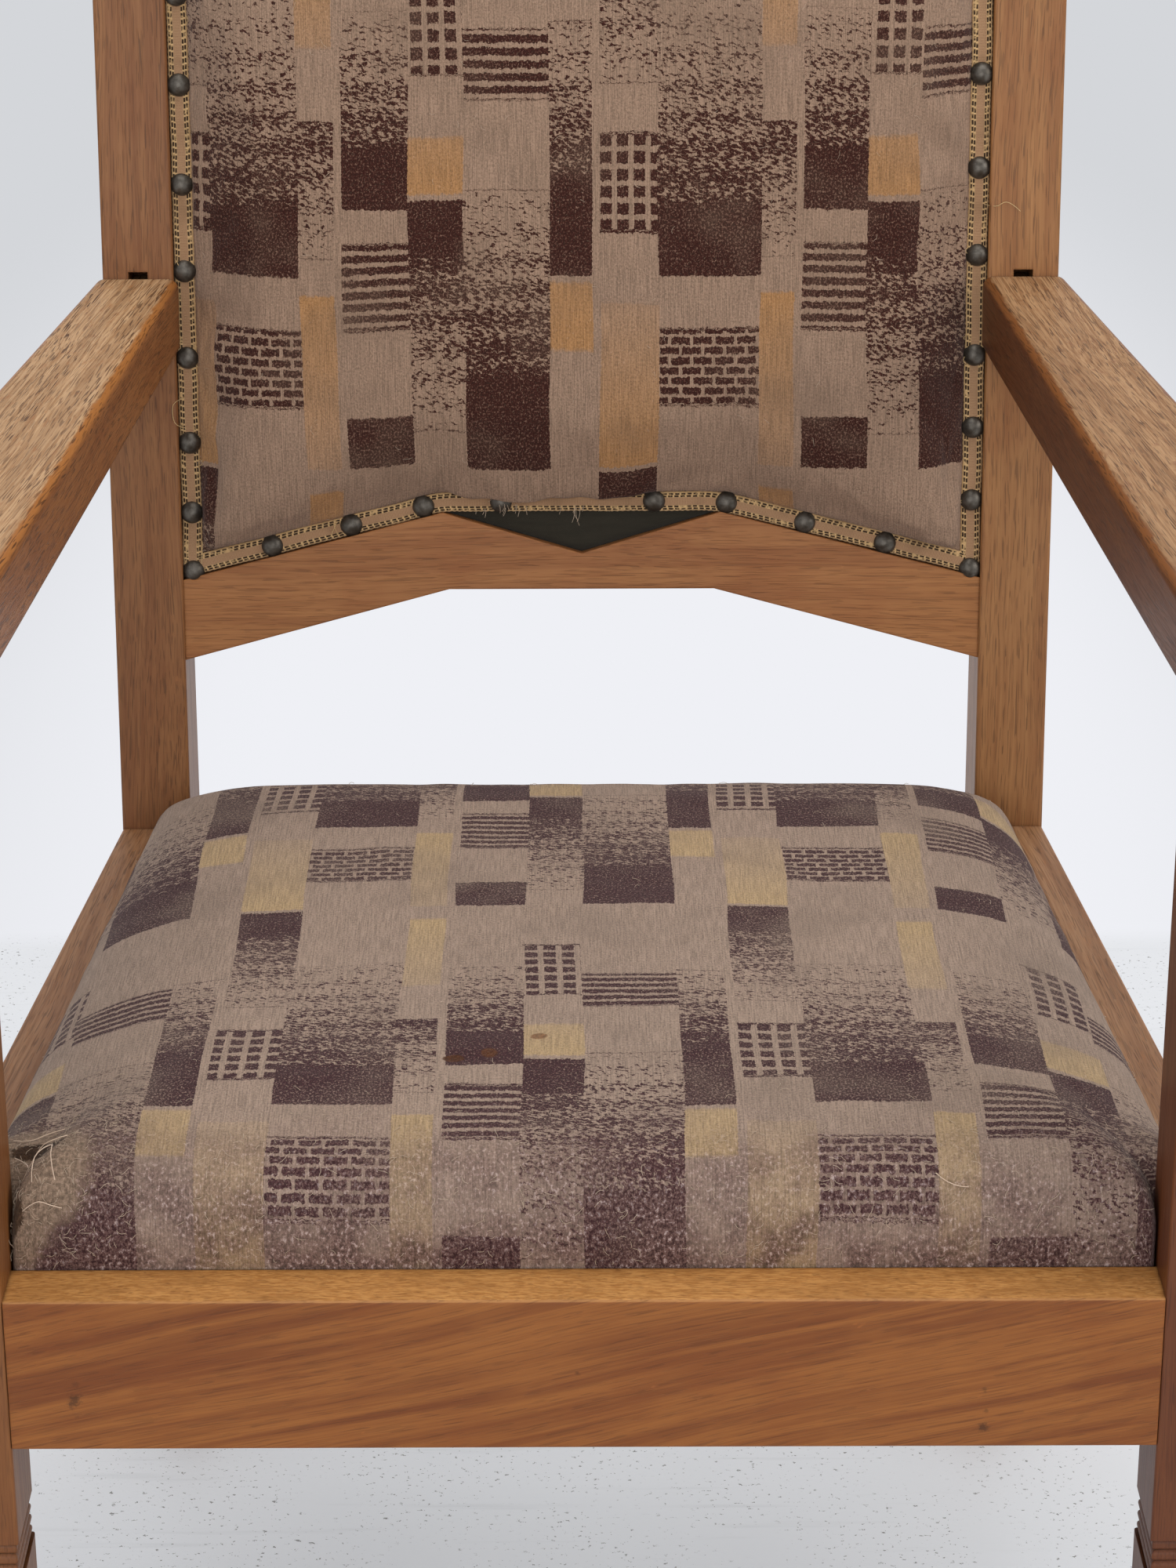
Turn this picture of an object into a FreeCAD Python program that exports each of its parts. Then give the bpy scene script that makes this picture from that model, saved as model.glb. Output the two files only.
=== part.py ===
import FreeCAD, Part
import math
import os

from FreeCAD import Vector

# Oak armchair with an upholstered back and a drop-in seat, in millimetres.
# It is drawn with y = 0 on the front face of the front rail and y growing towards the back,
# x = 0 on the centre plane and z = 0 on the floor. Left and right are those of a person who
# faces the chair. At the end every piece moves so that the chair stands centred on the origin.

# Overall sizes
seat_rail_top = 405.0
front_width = 587.2
back_width = 500.0
seat_depth = 508.8
arm_top = 702.3
post_top = 966.0
rake = 6.8

# Back posts, each one piece from the foot to the top
post_width = 37.1
post_depth = 52.0
post_top_depth = 36.0
post_foot_depth = 38.0
foot_splay = 42.0
post_round = 1.5

# Front legs, with a band of reeds below the front rail
leg_width = 48.3
leg_depth = 45.0
leg_round = 1.5
reed_band_top = 284.4
reed_count = 4
reed_pitch = 5.6
reed_rise = 1.8
reed_setback = 1.0

# Seat rails
rail_height = 72.5
front_rail_thickness = 27.2
side_rail_thickness = 20.5
back_rail_thickness = 25.0
rail_round = 1.5

# Mortise and tenon joints of the frame
tenon_thickness = 10.0
tenon_shoulder = 11.0
tenon_length = 25.0
tenon_wall = 3.5
glue_clearance = 0.1

# How near a place has to be for an edge to count as lying on it
touching = 0.01

# Arms
arm_thickness = 35.4
arm_root_inner_overhang = 2.5
arm_root_outer_overhang = 4.4
arm_front_overhang = 26.2
arm_nose = 28.0
arm_edge_round = 5.5
arm_nose_round = 18.0
arm_nose_inner_round = 7.0
arm_tenon_height = 26.0
arm_tenon_length = 30.0
arm_slot_height = 3.6
leg_tenon_side = 24.0
leg_tenon_height = 20.0

# Lower back rail, measured up the slope of the back from the top of the seat rails
back_rail_setback = 1.5
lower_rail_end_bottom = 94.1
lower_rail_mid_bottom = 132.6
lower_rail_flat_half = 70.8
lower_rail_end_top = 138.0
lower_rail_peak_top = 174.2
lower_rail_peak_half = 74.0
lower_rail_notch = 151.9
back_lip = 6.0

# Top back rail, at the posts and in the middle
top_rail_height = 65.0
top_rail_crest_rise = 19.0
back_tenon_length = 18.0

# Frame of the back pad
pad_frame_bottom = 145.0
pad_frame_overlap = 7.0
pad_frame_width = 45.0
pad_stile_width = 28.0
pad_frame_thickness = 18.0

# Soft layers
webbing_width = 50.0
webbing_thickness = 1.2
hessian_thickness = 0.8
lining_thickness = 0.8
cover_thickness = 1.6
back_crown = 24.0
back_crown_inset = 14.0
back_web_inset = 17.0
seat_crown = 50.0
seat_lean = 1.3
frame_corner_round = 3.0
notch_round_share = 0.45
seat_webbing_pitch = 90.0
seat_webbing_cross_pitch = 108.0
back_webbing_pitch = 75.0
back_webbing_cross_pitch = 97.5
dust_cloth_thickness = 0.5
dust_cloth_inset = 6.0
outside_cloth_thickness = 0.8

# Sections of the seat's crown from the rails up: how far each lies inside the edge, its share
# of the crown's height, the round of its corners, and its share of the lean to the front
seat_sections = (
    (0.0, 0.0, 3.0, 0.0), (0.3, 0.34, 5.0, 0.15), (3.0, 0.6, 9.0, 0.4), (10.0, 0.79, 14.0, 0.7),
    (24.0, 0.92, 22.0, 0.9), (50.0, 0.985, 30.0, 1.0), (100.0, 1.03, 40.0, 1.0))

# Sections of the back's crown in the same way, without a lean
pad_sections = (
    (0.0, 0.0, 8.0), (0.6, 0.38, 9.0), (5.0, 0.62, 14.0), (16.0, 0.82, 22.0), (38.0, 0.94, 30.0),
    (75.0, 1.0, 40.0))

# Gimp and decorative nails
gimp_width = 10.4
gimp_thickness = 1.6
gimp_gap = 0.3
nail_head = 11.0
nail_rise = 3.6
nail_shank = 1.8
nail_length = 13.0
nail_pitch = 46.0
corner_nail_drop = 2.7
nail_steps_left = (32.0, 37.7, 45.1, 45.9, 45.2, 51.0)
nail_steps_right = (37.6, 38.8, 38.9, 52.4, 45.6, 48.2)
nail_places_bottom = (-165.0, -122.7, -84.2, -42.6, 38.6, 77.0, 118.7, 162.0)

# Drop-in seat
seat_clearance = 0.8
seat_sink = 2.0
seat_frame_thickness = 22.0
seat_frame_width = 45.0
hem_width = 24.0
seat_rest_gap = 0.3

# Corner blocks and wood screws
block_reach = 55.0
block_height = 30.0
back_block_reach = 68.0
screw_radius = 2.0
screw_head_radius = 4.0
screw_head_height = 3.0
screw_bite = 15.0
screw_cover = 9.0
screw_inset = 18.0
pad_screw_length = 40.0
pad_screw_inset = 50.0

# Upholstery tacks
tack_head_radius = 2.5
tack_head_height = 0.8
tack_shank_radius = 0.8
tack_length = 11.0
tack_pitch = 46.0

# Places that follow from the sizes above
rake_tangent = math.tan(math.radians(rake))
rake_cosine = math.cos(math.radians(rake))
rail_bottom = seat_rail_top - rail_height
post_outer = back_width / 2
post_inner = post_outer - post_width
leg_outer = front_width / 2
leg_inner = leg_outer - leg_width
side_slope = (leg_outer - post_outer) / (seat_depth - leg_depth)
arm_bottom = arm_top - arm_thickness
arm_root_y = seat_depth + (arm_top - seat_rail_top) * rake_tangent
post_centre = (post_inner + post_outer) / 2
pad_front = back_rail_setback + back_lip
pad_back = pad_front + pad_frame_thickness
slope_top = (post_top - seat_rail_top) / rake_cosine
top_rail_bottom = slope_top - top_rail_height
top_rail_crest = slope_top + top_rail_crest_rise
pad_frame_top = top_rail_bottom + pad_frame_overlap
seat_frame_top = seat_rail_top - seat_sink
seat_frame_bottom = seat_frame_top - seat_frame_thickness
seat_inset = seat_clearance + cover_thickness
block_top = seat_frame_bottom - cover_thickness - dust_cloth_thickness - seat_rest_gap
web_stack = 2 * webbing_thickness + hessian_thickness


def side_outer(y):
    """Half width of the chair over the side rails at depth y."""
    return leg_outer - side_slope * (y - leg_depth)


def side_inner(y):
    """Half width between the side rails at depth y."""
    return side_outer(y) - side_rail_thickness


def box(x0, x1, y0, y1, z0, z1):
    return Part.makeBox(x1 - x0, y1 - y0, z1 - z0, Vector(x0, y0, z0))


def prism(points, z0, z1):
    """Upright prism on a plan outline."""
    corners = [Vector(x, y, z0) for x, y in points]
    face = Part.Face(Part.makePolygon(corners + corners[:1]))
    return face.extrude(Vector(0, 0, z1 - z0))


def plate(points, y0, y1):
    """Plate whose outline is drawn in x and z, from y0 to y1."""
    corners = [Vector(x, y0, z) for x, z in points]
    face = Part.Face(Part.makePolygon(corners + corners[:1]))
    return face.extrude(Vector(0, y1 - y0, 0))


def mirrored(shape):
    return shape.mirror(Vector(0, 0, 0), Vector(1, 0, 0))


def both_sides(shape):
    return Part.makeCompound([shape, mirrored(shape)])


def on_back(shape):
    """Lean a shape drawn upright, with y as depth behind the posts' face, onto the back."""
    placed = shape.copy()
    placed.translate(Vector(0, seat_depth, seat_rail_top))
    placed.rotate(Vector(0, seat_depth, seat_rail_top), Vector(1, 0, 0), -rake)
    return placed


def tidy(shape):
    return shape.removeSplitter()


def rounded(shape, radius, wanted):
    """Round the straight edges whose two ends and direction pass the test."""
    edges = [edge for edge in shape.Edges if wanted(edge)]
    return shape.makeFillet(radius, edges)


def runs_along(edge, axis):
    direction = edge.Vertexes[1].Point - edge.Vertexes[0].Point
    return abs(direction.normalize().dot(axis)) > 0.98


def limits(grow, x0, x1, y0, y1, z0, z1):
    """Tenon block, or where grow is set its mortise, larger by the glue clearance all round."""
    gap = glue_clearance if grow else 0
    return box(x0 - gap, x1 + gap, y0 - gap, y1 + gap, z0 - gap, z1 + gap)


def inset_outline(points, inset):
    """Move each side of an outline inwards; the points run counter-clockwise."""
    moved = []
    count = len(points)
    for index in range(count):
        before, here, after = points[index - 1], points[index], points[(index + 1) % count]
        lines = []
        for start, end in ((before, here), (here, after)):
            dx, dz = end[0] - start[0], end[1] - start[1]
            size = math.hypot(dx, dz)
            lines.append((start[0] - dz / size * inset, start[1] + dx / size * inset, dx, dz))
        (ax, az, adx, adz), (bx, bz, bdx, bdz) = lines
        along = ((bx - ax) * bdz - (bz - az) * bdx) / (adx * bdz - adz * bdx)
        moved.append((ax + adx * along, az + adz * along))
    return moved


def soft_wire(points, radii, place):
    """Closed wire with rounded corners; place turns a plan point into a place in space."""
    count = len(points)
    arcs = []
    for index in range(count):
        here = Vector(points[index][0], points[index][1], 0)
        before = (Vector(*points[index - 1], 0) - here).normalize()
        after = (Vector(*points[(index + 1) % count], 0) - here).normalize()
        half = before.getAngle(after) / 2
        cut = radii[index] / math.tan(half)
        bisector = (before + after).normalize()
        middle = here + bisector * (radii[index] / math.sin(half) - radii[index])
        arcs.append((here + before * cut, middle, here + after * cut))
    edges = []
    for index in range(count):
        entry, middle, leave = [place(p.x, p.y) for p in arcs[index]]
        following = place(arcs[(index + 1) % count][0].x, arcs[(index + 1) % count][0].y)
        edges.append(Part.Arc(entry, middle, leave).toShape())
        edges.append(Part.LineSegment(leave, following).toShape())
    return Part.Wire(edges)


def screw(length):
    """Countersunk wood screw along +z with its head's face at the origin."""
    head = Part.makeCone(screw_head_radius, screw_radius, screw_head_height)
    return head.fuse(Part.makeCylinder(screw_radius, length))


def aimed(shape, place, direction):
    """Turn a shape drawn along +z to a direction and put its origin at a place."""
    turned = shape.copy()
    turned.Placement = FreeCAD.Placement(place, FreeCAD.Rotation(Vector(0, 0, 1), direction))
    return turned


# Frame of oak

def make_post():
    """Right back post with the mortises of every rail and of the arm."""
    top_y = seat_depth + (post_top - seat_rail_top) * rake_tangent
    side = [
        (seat_depth + foot_splay, 0), (seat_depth, rail_bottom), (seat_depth, seat_rail_top),
        (top_y, post_top), (top_y + post_top_depth, post_top),
        (seat_depth + post_depth, seat_rail_top), (seat_depth + post_depth, rail_bottom),
        (seat_depth + foot_splay + post_foot_depth, 0)]
    corners = [Vector(post_inner, y, z) for y, z in side]
    post = Part.Face(Part.makePolygon(corners + corners[:1])).extrude(Vector(post_width, 0, 0))
    post = rounded(post, post_round, lambda edge: not runs_along(edge, Vector(1, 0, 0))
                   and max(v.Point.z for v in edge.Vertexes) > 0)
    for mortise in (side_rail_joint(back=True, grow=True), back_rail_joint(grow=True),
                    arm_joint(grow=True), on_back(lower_rail_joint(grow=True)),
                    on_back(top_rail_joint(grow=True))):
        post = post.cut(mortise)
    return post


def side_rail_joint(back, grow=False):
    end = seat_depth if back else leg_depth
    middle = (side_outer(end) + side_inner(end)) / 2
    start, stop = (end, end + tenon_length) if back else (end - tenon_length, end)
    return limits(grow, middle - tenon_thickness / 2, middle + tenon_thickness / 2, start, stop,
                  rail_bottom + tenon_shoulder, seat_rail_top - tenon_shoulder)


def back_rail_joint(grow=False):
    """Tenon that stops short of the side rail's tenon in the same post."""
    end = (side_outer(seat_depth) + side_inner(seat_depth)) / 2 - tenon_thickness / 2 - tenon_wall
    middle = seat_depth + back_rail_thickness / 2
    return limits(grow, post_inner, end, middle - tenon_thickness / 2,
                  middle + tenon_thickness / 2, rail_bottom + tenon_shoulder,
                  seat_rail_top - tenon_shoulder)


def front_rail_joint(grow=False):
    """Tenon that stops short of the side rail's tenon in the same leg."""
    middle = front_rail_thickness / 2
    stop = (side_outer(leg_depth) + side_inner(leg_depth)) / 2 - tenon_thickness / 2 - tenon_wall
    return limits(grow, leg_inner, stop, middle - tenon_thickness / 2,
                  middle + tenon_thickness / 2, rail_bottom + tenon_shoulder,
                  seat_rail_top - tenon_shoulder)


def arm_joint(grow=False):
    """Tenon of the arm in the post; its mortise rises above the arm as an open slot."""
    half = tenon_thickness / 2
    bottom = arm_bottom + (arm_thickness - arm_tenon_height) / 2
    top = bottom + arm_tenon_height
    start = seat_depth + (bottom - seat_rail_top) * rake_tangent
    tenon = limits(grow, post_centre - half, post_centre + half, start,
                   start + arm_tenon_length, bottom, top)
    if not grow:
        return tenon
    front = start - post_width
    slot = box(post_centre - half - glue_clearance, post_centre + half + glue_clearance,
               front, start + arm_tenon_length, bottom, arm_top + arm_slot_height)
    return tenon.fuse(slot)


def lower_rail_joint(grow=False):
    middle = back_rail_setback + (back_lip + pad_frame_thickness) / 2
    half = tenon_thickness / 2
    return limits(grow, post_inner, post_inner + back_tenon_length, middle - half, middle + half,
                  lower_rail_end_bottom + tenon_shoulder, lower_rail_end_top)


def top_rail_joint(grow=False):
    middle = back_rail_setback + (back_lip + pad_frame_thickness) / 2
    half = tenon_thickness / 2
    return limits(grow, post_inner, post_inner + back_tenon_length, middle - half, middle + half,
                  pad_frame_top + tenon_shoulder, slope_top - tenon_shoulder)


def reeded(width, length):
    """Band of reeds on the two sides of a bar, ends left plain."""
    half = width / 2 - reed_setback - reed_rise
    edges = []
    for index in range(reed_count):
        high = reed_band_top - index * reed_pitch
        low = high - reed_pitch
        bulge = Vector(half + reed_rise, 0, (high + low) / 2)
        edges.append(Part.Arc(Vector(half, 0, high), bulge, Vector(half, 0, low)).toShape())
    bottom = reed_band_top - reed_count * reed_pitch
    edges.append(Part.LineSegment(Vector(half, 0, bottom), Vector(-half, 0, bottom)).toShape())
    for index in range(reed_count):
        low = bottom + index * reed_pitch
        high = low + reed_pitch
        bulge = Vector(-half - reed_rise, 0, (high + low) / 2)
        edges.append(Part.Arc(Vector(-half, 0, low), bulge, Vector(-half, 0, high)).toShape())
    edges.append(Part.LineSegment(Vector(-half, 0, reed_band_top),
                                  Vector(half, 0, reed_band_top)).toShape())
    band = Part.Face(Part.Wire(edges)).extrude(Vector(0, length, 0))
    band.translate(Vector(0, -length / 2, 0))
    return band


def make_front_leg():
    """Right front leg with its reeded band, its mortises and the tenon into the arm."""
    band_bottom = reed_band_top - reed_count * reed_pitch
    def shaft(z0, z1):
        piece = box(leg_inner, leg_outer, 0, leg_depth, z0, z1)
        return rounded(piece, leg_round, lambda edge: runs_along(edge, Vector(0, 0, 1)))
    across = reeded(leg_width, 2 * leg_depth)
    along = reeded(leg_depth, 2 * leg_width)
    along.rotate(Vector(0, 0, 0), Vector(0, 0, 1), 90)
    band = across.common(along)
    centre = Vector((leg_inner + leg_outer) / 2, leg_depth / 2, 0)
    band.translate(centre)
    leg = shaft(0, band_bottom).fuse(band).fuse(shaft(reed_band_top, arm_bottom))
    leg = leg.cut(side_rail_joint(back=False, grow=True)).cut(front_rail_joint(grow=True))
    return leg.fuse(leg_joint())


def leg_joint(grow=False):
    """Tenon of the front leg in the arm."""
    x = (leg_inner + leg_outer) / 2
    y = leg_depth / 2
    half = leg_tenon_side / 2
    return limits(grow, x - half, x + half, y - half, y + half, arm_bottom,
                  arm_bottom + leg_tenon_height)


def make_front_rail():
    rail = box(-leg_inner, leg_inner, 0, front_rail_thickness, rail_bottom, seat_rail_top)
    rail = rounded(rail, rail_round, lambda edge: runs_along(edge, Vector(1, 0, 0))
                   and edge.BoundBox.YMax < touching)
    return rail.fuse(front_rail_joint()).fuse(mirrored(front_rail_joint()))


def make_side_rail():
    plan = [(side_inner(leg_depth), leg_depth), (side_outer(leg_depth), leg_depth),
            (side_outer(seat_depth), seat_depth), (side_inner(seat_depth), seat_depth)]
    rail = prism(plan, rail_bottom, seat_rail_top)
    outer_line = lambda edge: (abs(edge.CenterOfMass.x - side_outer(edge.CenterOfMass.y)) < touching
                               and edge.Length > tenon_length
                               and not runs_along(edge, Vector(0, 0, 1)))
    rail = rounded(rail, rail_round, outer_line)
    return rail.fuse(side_rail_joint(back=False)).fuse(side_rail_joint(back=True))


def make_back_seat_rail():
    rail = box(-post_inner, post_inner, seat_depth, seat_depth + back_rail_thickness,
               rail_bottom, seat_rail_top)
    return rail.fuse(back_rail_joint()).fuse(mirrored(back_rail_joint()))


def make_arm():
    """Right arm, wider at the front, cut to the rake of the post at its root."""
    root_inner = post_inner - arm_root_inner_overhang
    root_outer = post_outer + arm_root_outer_overhang
    inner_slope = (leg_inner - root_inner) / arm_root_y
    outer_slope = (leg_outer + arm_front_overhang - root_outer) / arm_root_y
    def inner(y):
        return root_inner + inner_slope * (arm_root_y - y)
    def outer(y):
        return root_outer + outer_slope * (arm_root_y - y)
    back = arm_root_y + post_width
    plan = [(inner(-arm_nose), -arm_nose), (outer(-arm_nose), -arm_nose),
            (outer(back), back), (inner(back), back)]
    arm = prism(plan, arm_bottom, arm_top)
    arm = rounded(arm, arm_nose_round, lambda edge: runs_along(edge, Vector(0, 0, 1))
                  and edge.CenterOfMass.y < 0 and edge.CenterOfMass.x > leg_outer)
    arm = rounded(arm, arm_nose_inner_round, lambda edge: runs_along(edge, Vector(0, 0, 1))
                  and edge.CenterOfMass.y < 0 and edge.CenterOfMass.x < leg_outer)
    arm = rounded(arm, arm_edge_round, lambda edge: edge.BoundBox.ZMin > arm_top - touching
                  and edge.Length > back / 2 and edge.CenterOfMass.x < leg_inner)
    behind = box(0, front_width, 0, seat_depth, 0, post_top)
    arm = arm.cut(on_back(behind))
    return arm.fuse(arm_joint()).cut(leg_joint(grow=True))


def lower_rail_underside():
    return [(-post_inner, lower_rail_end_bottom), (-lower_rail_flat_half, lower_rail_mid_bottom),
            (lower_rail_flat_half, lower_rail_mid_bottom), (post_inner, lower_rail_end_bottom)]


def lower_rail_profile():
    """Visible top edge of the lower rail, from right to left, with its notch."""
    return [(post_inner, lower_rail_end_top), (lower_rail_peak_half, lower_rail_peak_top),
            (0, lower_rail_notch), (-lower_rail_peak_half, lower_rail_peak_top),
            (-post_inner, lower_rail_end_top)]


def make_lower_back_rail():
    """Shaped lip in front of a straight ledge that carries the frame of the pad."""
    lip = plate(lower_rail_underside() + lower_rail_profile(), back_rail_setback, pad_front)
    ledge = plate(lower_rail_underside() + [(post_inner, pad_frame_bottom),
                                            (-post_inner, pad_frame_bottom)], pad_front, pad_back)
    rail = tidy(lip.fuse(ledge))
    return rail.fuse(lower_rail_joint()).fuse(mirrored(lower_rail_joint()))


def make_top_back_rail():
    """Crest rail whose lip covers the top of the pad's frame."""
    crest = [(post_inner, slope_top), (lower_rail_flat_half, top_rail_crest),
             (-lower_rail_flat_half, top_rail_crest), (-post_inner, slope_top)]
    lip = plate([(-post_inner, top_rail_bottom), (post_inner, top_rail_bottom)] + crest,
                back_rail_setback, pad_front)
    body = plate([(-post_inner, pad_frame_top), (post_inner, pad_frame_top)] + crest,
                 pad_front, pad_back)
    rail = tidy(lip.fuse(body))
    return rail.fuse(top_rail_joint()).fuse(mirrored(top_rail_joint()))


# Corner blocks

def front_block_plan():
    y = leg_depth + block_reach
    return [(leg_inner - block_reach, front_rail_thickness), (leg_inner, front_rail_thickness),
            (leg_inner, leg_depth), (side_inner(leg_depth), leg_depth), (side_inner(y), y)]


def back_block_plan():
    y = seat_depth - back_block_reach
    corner = side_inner(seat_depth)
    return [(corner, seat_depth), (corner - back_block_reach, seat_depth), (side_inner(y), y)]


def block_screws():
    """Two screws in each right block, into the rail across and the rail along the side."""
    z = block_top - block_height / 2
    cross = screw(screw_cover + screw_bite)
    front_x = leg_inner - block_reach + screw_inset
    front_y = leg_depth + block_reach - screw_inset
    back_x = side_inner(seat_depth) - back_block_reach + screw_inset
    back_y = seat_depth - back_block_reach + screw_inset
    return [
        aimed(cross, Vector(front_x, front_rail_thickness + screw_cover, z), Vector(0, -1, 0)),
        aimed(cross, Vector(side_inner(front_y) - screw_cover, front_y, z), Vector(1, 0, 0)),
        aimed(cross, Vector(back_x, seat_depth - screw_cover, z), Vector(0, 1, 0)),
        aimed(cross, Vector(side_inner(back_y) - screw_cover, back_y, z), Vector(1, 0, 0))]


def make_block(plan):
    """Block with its screw holes, each opened to the head's size behind the head."""
    block = prism(plan, block_top - block_height, block_top)
    opening = Part.makeCylinder(screw_head_radius, block_reach)
    for one in block_screws():
        direction = one.Placement.Rotation.multVec(Vector(0, 0, 1))
        block = block.cut(one).cut(aimed(opening, one.Placement.Base, -direction))
    return block


# Drop-in seat

def seat_outline(inset):
    """Opening between the rails, drawn in; it steps round the front legs."""
    front, back = front_rail_thickness, seat_depth
    right = [(leg_inner, front), (leg_inner, leg_depth), (side_inner(leg_depth), leg_depth),
             (side_inner(back), back)]
    left = [(-x, y) for x, y in reversed(right)]
    return inset_outline(right + left, inset)


def seat_wire(inset, z, corner, lean=0.0):
    """Seat outline as a soft wire, leaning up towards the front by an angle."""
    step = min(corner, notch_round_share * (leg_depth - front_rail_thickness))
    radii = [step, step, corner, corner, corner, corner, step, step]
    slope = math.tan(math.radians(lean))
    middle = (seat_depth + front_rail_thickness) / 2
    return soft_wire(seat_outline(inset), radii,
                     lambda x, y: Vector(x, y, z + slope * (middle - y)))


def seat_body(grow):
    """Seat from the underside of its frame to its crown, grown outwards by a layer."""
    base = seat_inset - grow
    foot = Part.Face(seat_wire(base, seat_frame_bottom - grow, frame_corner_round))
    side = foot.extrude(Vector(0, 0, seat_sink + seat_frame_thickness + grow))
    wires = []
    for inward, rise, corner, lean in seat_sections:
        height = seat_rail_top + rise * seat_crown + (grow if rise else 0)
        wires.append(seat_wire(base + inward, height, corner, lean * seat_lean))
    crown = Part.makeLoft(wires, True, True)
    return side.fuse(crown)


def seat_frame_outline(z0, z1):
    foot = Part.Face(seat_wire(seat_inset, z0, frame_corner_round))
    return foot.extrude(Vector(0, 0, z1 - z0))


def make_seat_frame():
    """Front, back, left and right members, half lapped at the corners."""
    whole = seat_frame_outline(seat_frame_bottom, seat_frame_top)
    middle = (seat_frame_bottom + seat_frame_top) / 2
    far = front_width
    low, high = seat_frame_bottom, seat_frame_top
    front_edge = front_rail_thickness + seat_inset + seat_frame_width
    back_edge = seat_depth - seat_inset - seat_frame_width
    front_band = box(-far, far, 0, front_edge, low, high)
    back_band = box(-far, far, back_edge, seat_depth, low, high)
    run = [(side_inner(0) - seat_inset - seat_frame_width, 0), (far, 0), (far, seat_depth),
           (side_inner(seat_depth) - seat_inset - seat_frame_width, seat_depth)]
    side_band = prism(run, low, high)
    upper = box(-far, far, 0, seat_depth, middle, high)
    lower = box(-far, far, 0, seat_depth, low, middle)
    members = {}
    for name, band in (("seat_frame_front", front_band), ("seat_frame_back", back_band)):
        member = whole.common(band)
        members[name] = member.cut(both_sides(side_band).common(upper))
    right = whole.common(side_band)
    right = right.cut(front_band.common(lower)).cut(back_band.common(lower))
    members["seat_frame_right"] = right
    members["seat_frame_left"] = mirrored(right)
    return members


def make_seat_webbing():
    """Three strips from front to back and three across, laid on the frame."""
    area = seat_outline(seat_inset + cover_thickness)
    low = seat_frame_top
    long_area = prism(area, low, low + webbing_thickness)
    cross_area = prism(area, low + webbing_thickness, low + 2 * webbing_thickness)
    half = webbing_width / 2
    middle = (front_rail_thickness + seat_depth) / 2
    long_strips, cross_strips = [], []
    for place in (-1, 0, 1):
        x, y = place * seat_webbing_pitch, middle + place * seat_webbing_cross_pitch
        long_strips.append(box(x - half, x + half, 0, seat_depth, low, low + webbing_thickness))
        cross_strips.append(box(-front_width, front_width, y - half, y + half,
                                low + webbing_thickness, low + 2 * webbing_thickness))
    return (Part.makeCompound([strip.common(long_area) for strip in long_strips]),
            Part.makeCompound([strip.common(cross_area) for strip in cross_strips]))


def tack_rows():
    """Places of the tacks under the seat, clear of the corner blocks."""
    inset = seat_inset + hem_width / 2
    def spread(low, high):
        count = max(2, round((high - low) / tack_pitch) + 1)
        return [low + (high - low) * index / (count - 1) for index in range(count)]
    margin = 3 * tack_head_radius
    front_end = leg_inner - block_reach - margin
    back_end = side_inner(seat_depth) - back_block_reach - margin
    places = [(x, front_rail_thickness + inset) for x in spread(-front_end, front_end)]
    places += [(x, seat_depth - inset) for x in spread(-back_end, back_end)]
    for y in spread(leg_depth + block_reach + margin, seat_depth - back_block_reach - margin):
        places += [(side_inner(y) - inset, y), (inset - side_inner(y), y)]
    return places


def tack():
    """Tack along +z with its head's underside on the origin."""
    head = Part.makeCylinder(tack_head_radius, tack_head_height, Vector(0, 0, -tack_head_height))
    return head.fuse(Part.makeCylinder(tack_shank_radius, tack_length))


def make_drop_in_seat():
    """All pieces of the drop-in seat by name."""
    pieces = make_seat_frame()
    stack = seat_frame_top + web_stack
    pieces["seat_webbing_long"], pieces["seat_webbing_cross"] = make_seat_webbing()
    web_outline = seat_outline(seat_inset + cover_thickness)
    pieces["seat_hessian"] = prism(web_outline, stack - hessian_thickness, stack)
    core = seat_body(0.0)
    pieces["seat_stuffing"] = core.cut(box(-front_width, front_width, -leg_depth, 2 * seat_depth,
                                           0, stack))
    skin = seat_body(cover_thickness).cut(core)
    hole = prism(seat_outline(seat_inset + hem_width), 0, seat_frame_bottom)
    pieces["seat_cover"] = skin.cut(hole)
    cloth_top = seat_frame_bottom - cover_thickness
    pieces["seat_dust_cloth"] = prism(seat_outline(seat_inset + dust_cloth_inset),
                                      cloth_top - dust_cloth_thickness, cloth_top)
    tacks = []
    for x, y in tack_rows():
        one = tack()
        one.translate(Vector(x, y, cloth_top - dust_cloth_thickness))
        tacks.append(one)
    tacks = Part.makeCompound(tacks)
    for name in ("seat_frame_front", "seat_frame_back", "seat_frame_left", "seat_frame_right",
                 "seat_cover", "seat_dust_cloth"):
        pieces[name] = pieces[name].cut(tacks)
    pieces["seat_tacks"] = tacks
    return pieces


# Upholstered back, drawn upright and leaned onto the back at the end

def pad_outline(inset):
    """Outline of the cover between the posts, straight over the notch of the rail."""
    points = [(-post_inner, lower_rail_end_top), (-lower_rail_peak_half, lower_rail_peak_top),
              (lower_rail_peak_half, lower_rail_peak_top), (post_inner, lower_rail_end_top),
              (post_inner, top_rail_bottom), (-post_inner, top_rail_bottom)]
    return inset_outline(points, inset)


def pad_body(grow):
    """Stuffed crown of the back in front of the frame, grown outwards by a layer."""
    wires = []
    for inward, rise, corner in pad_sections:
        depth = pad_front - rise * back_crown - (grow if rise else 0)
        radii = [corner, 2 * corner, 2 * corner, corner, corner, corner]
        wires.append(soft_wire(pad_outline(back_crown_inset - grow + inward), radii,
                               lambda x, z: Vector(x, depth, z)))
    return Part.makeLoft(wires, True, True)


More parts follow.
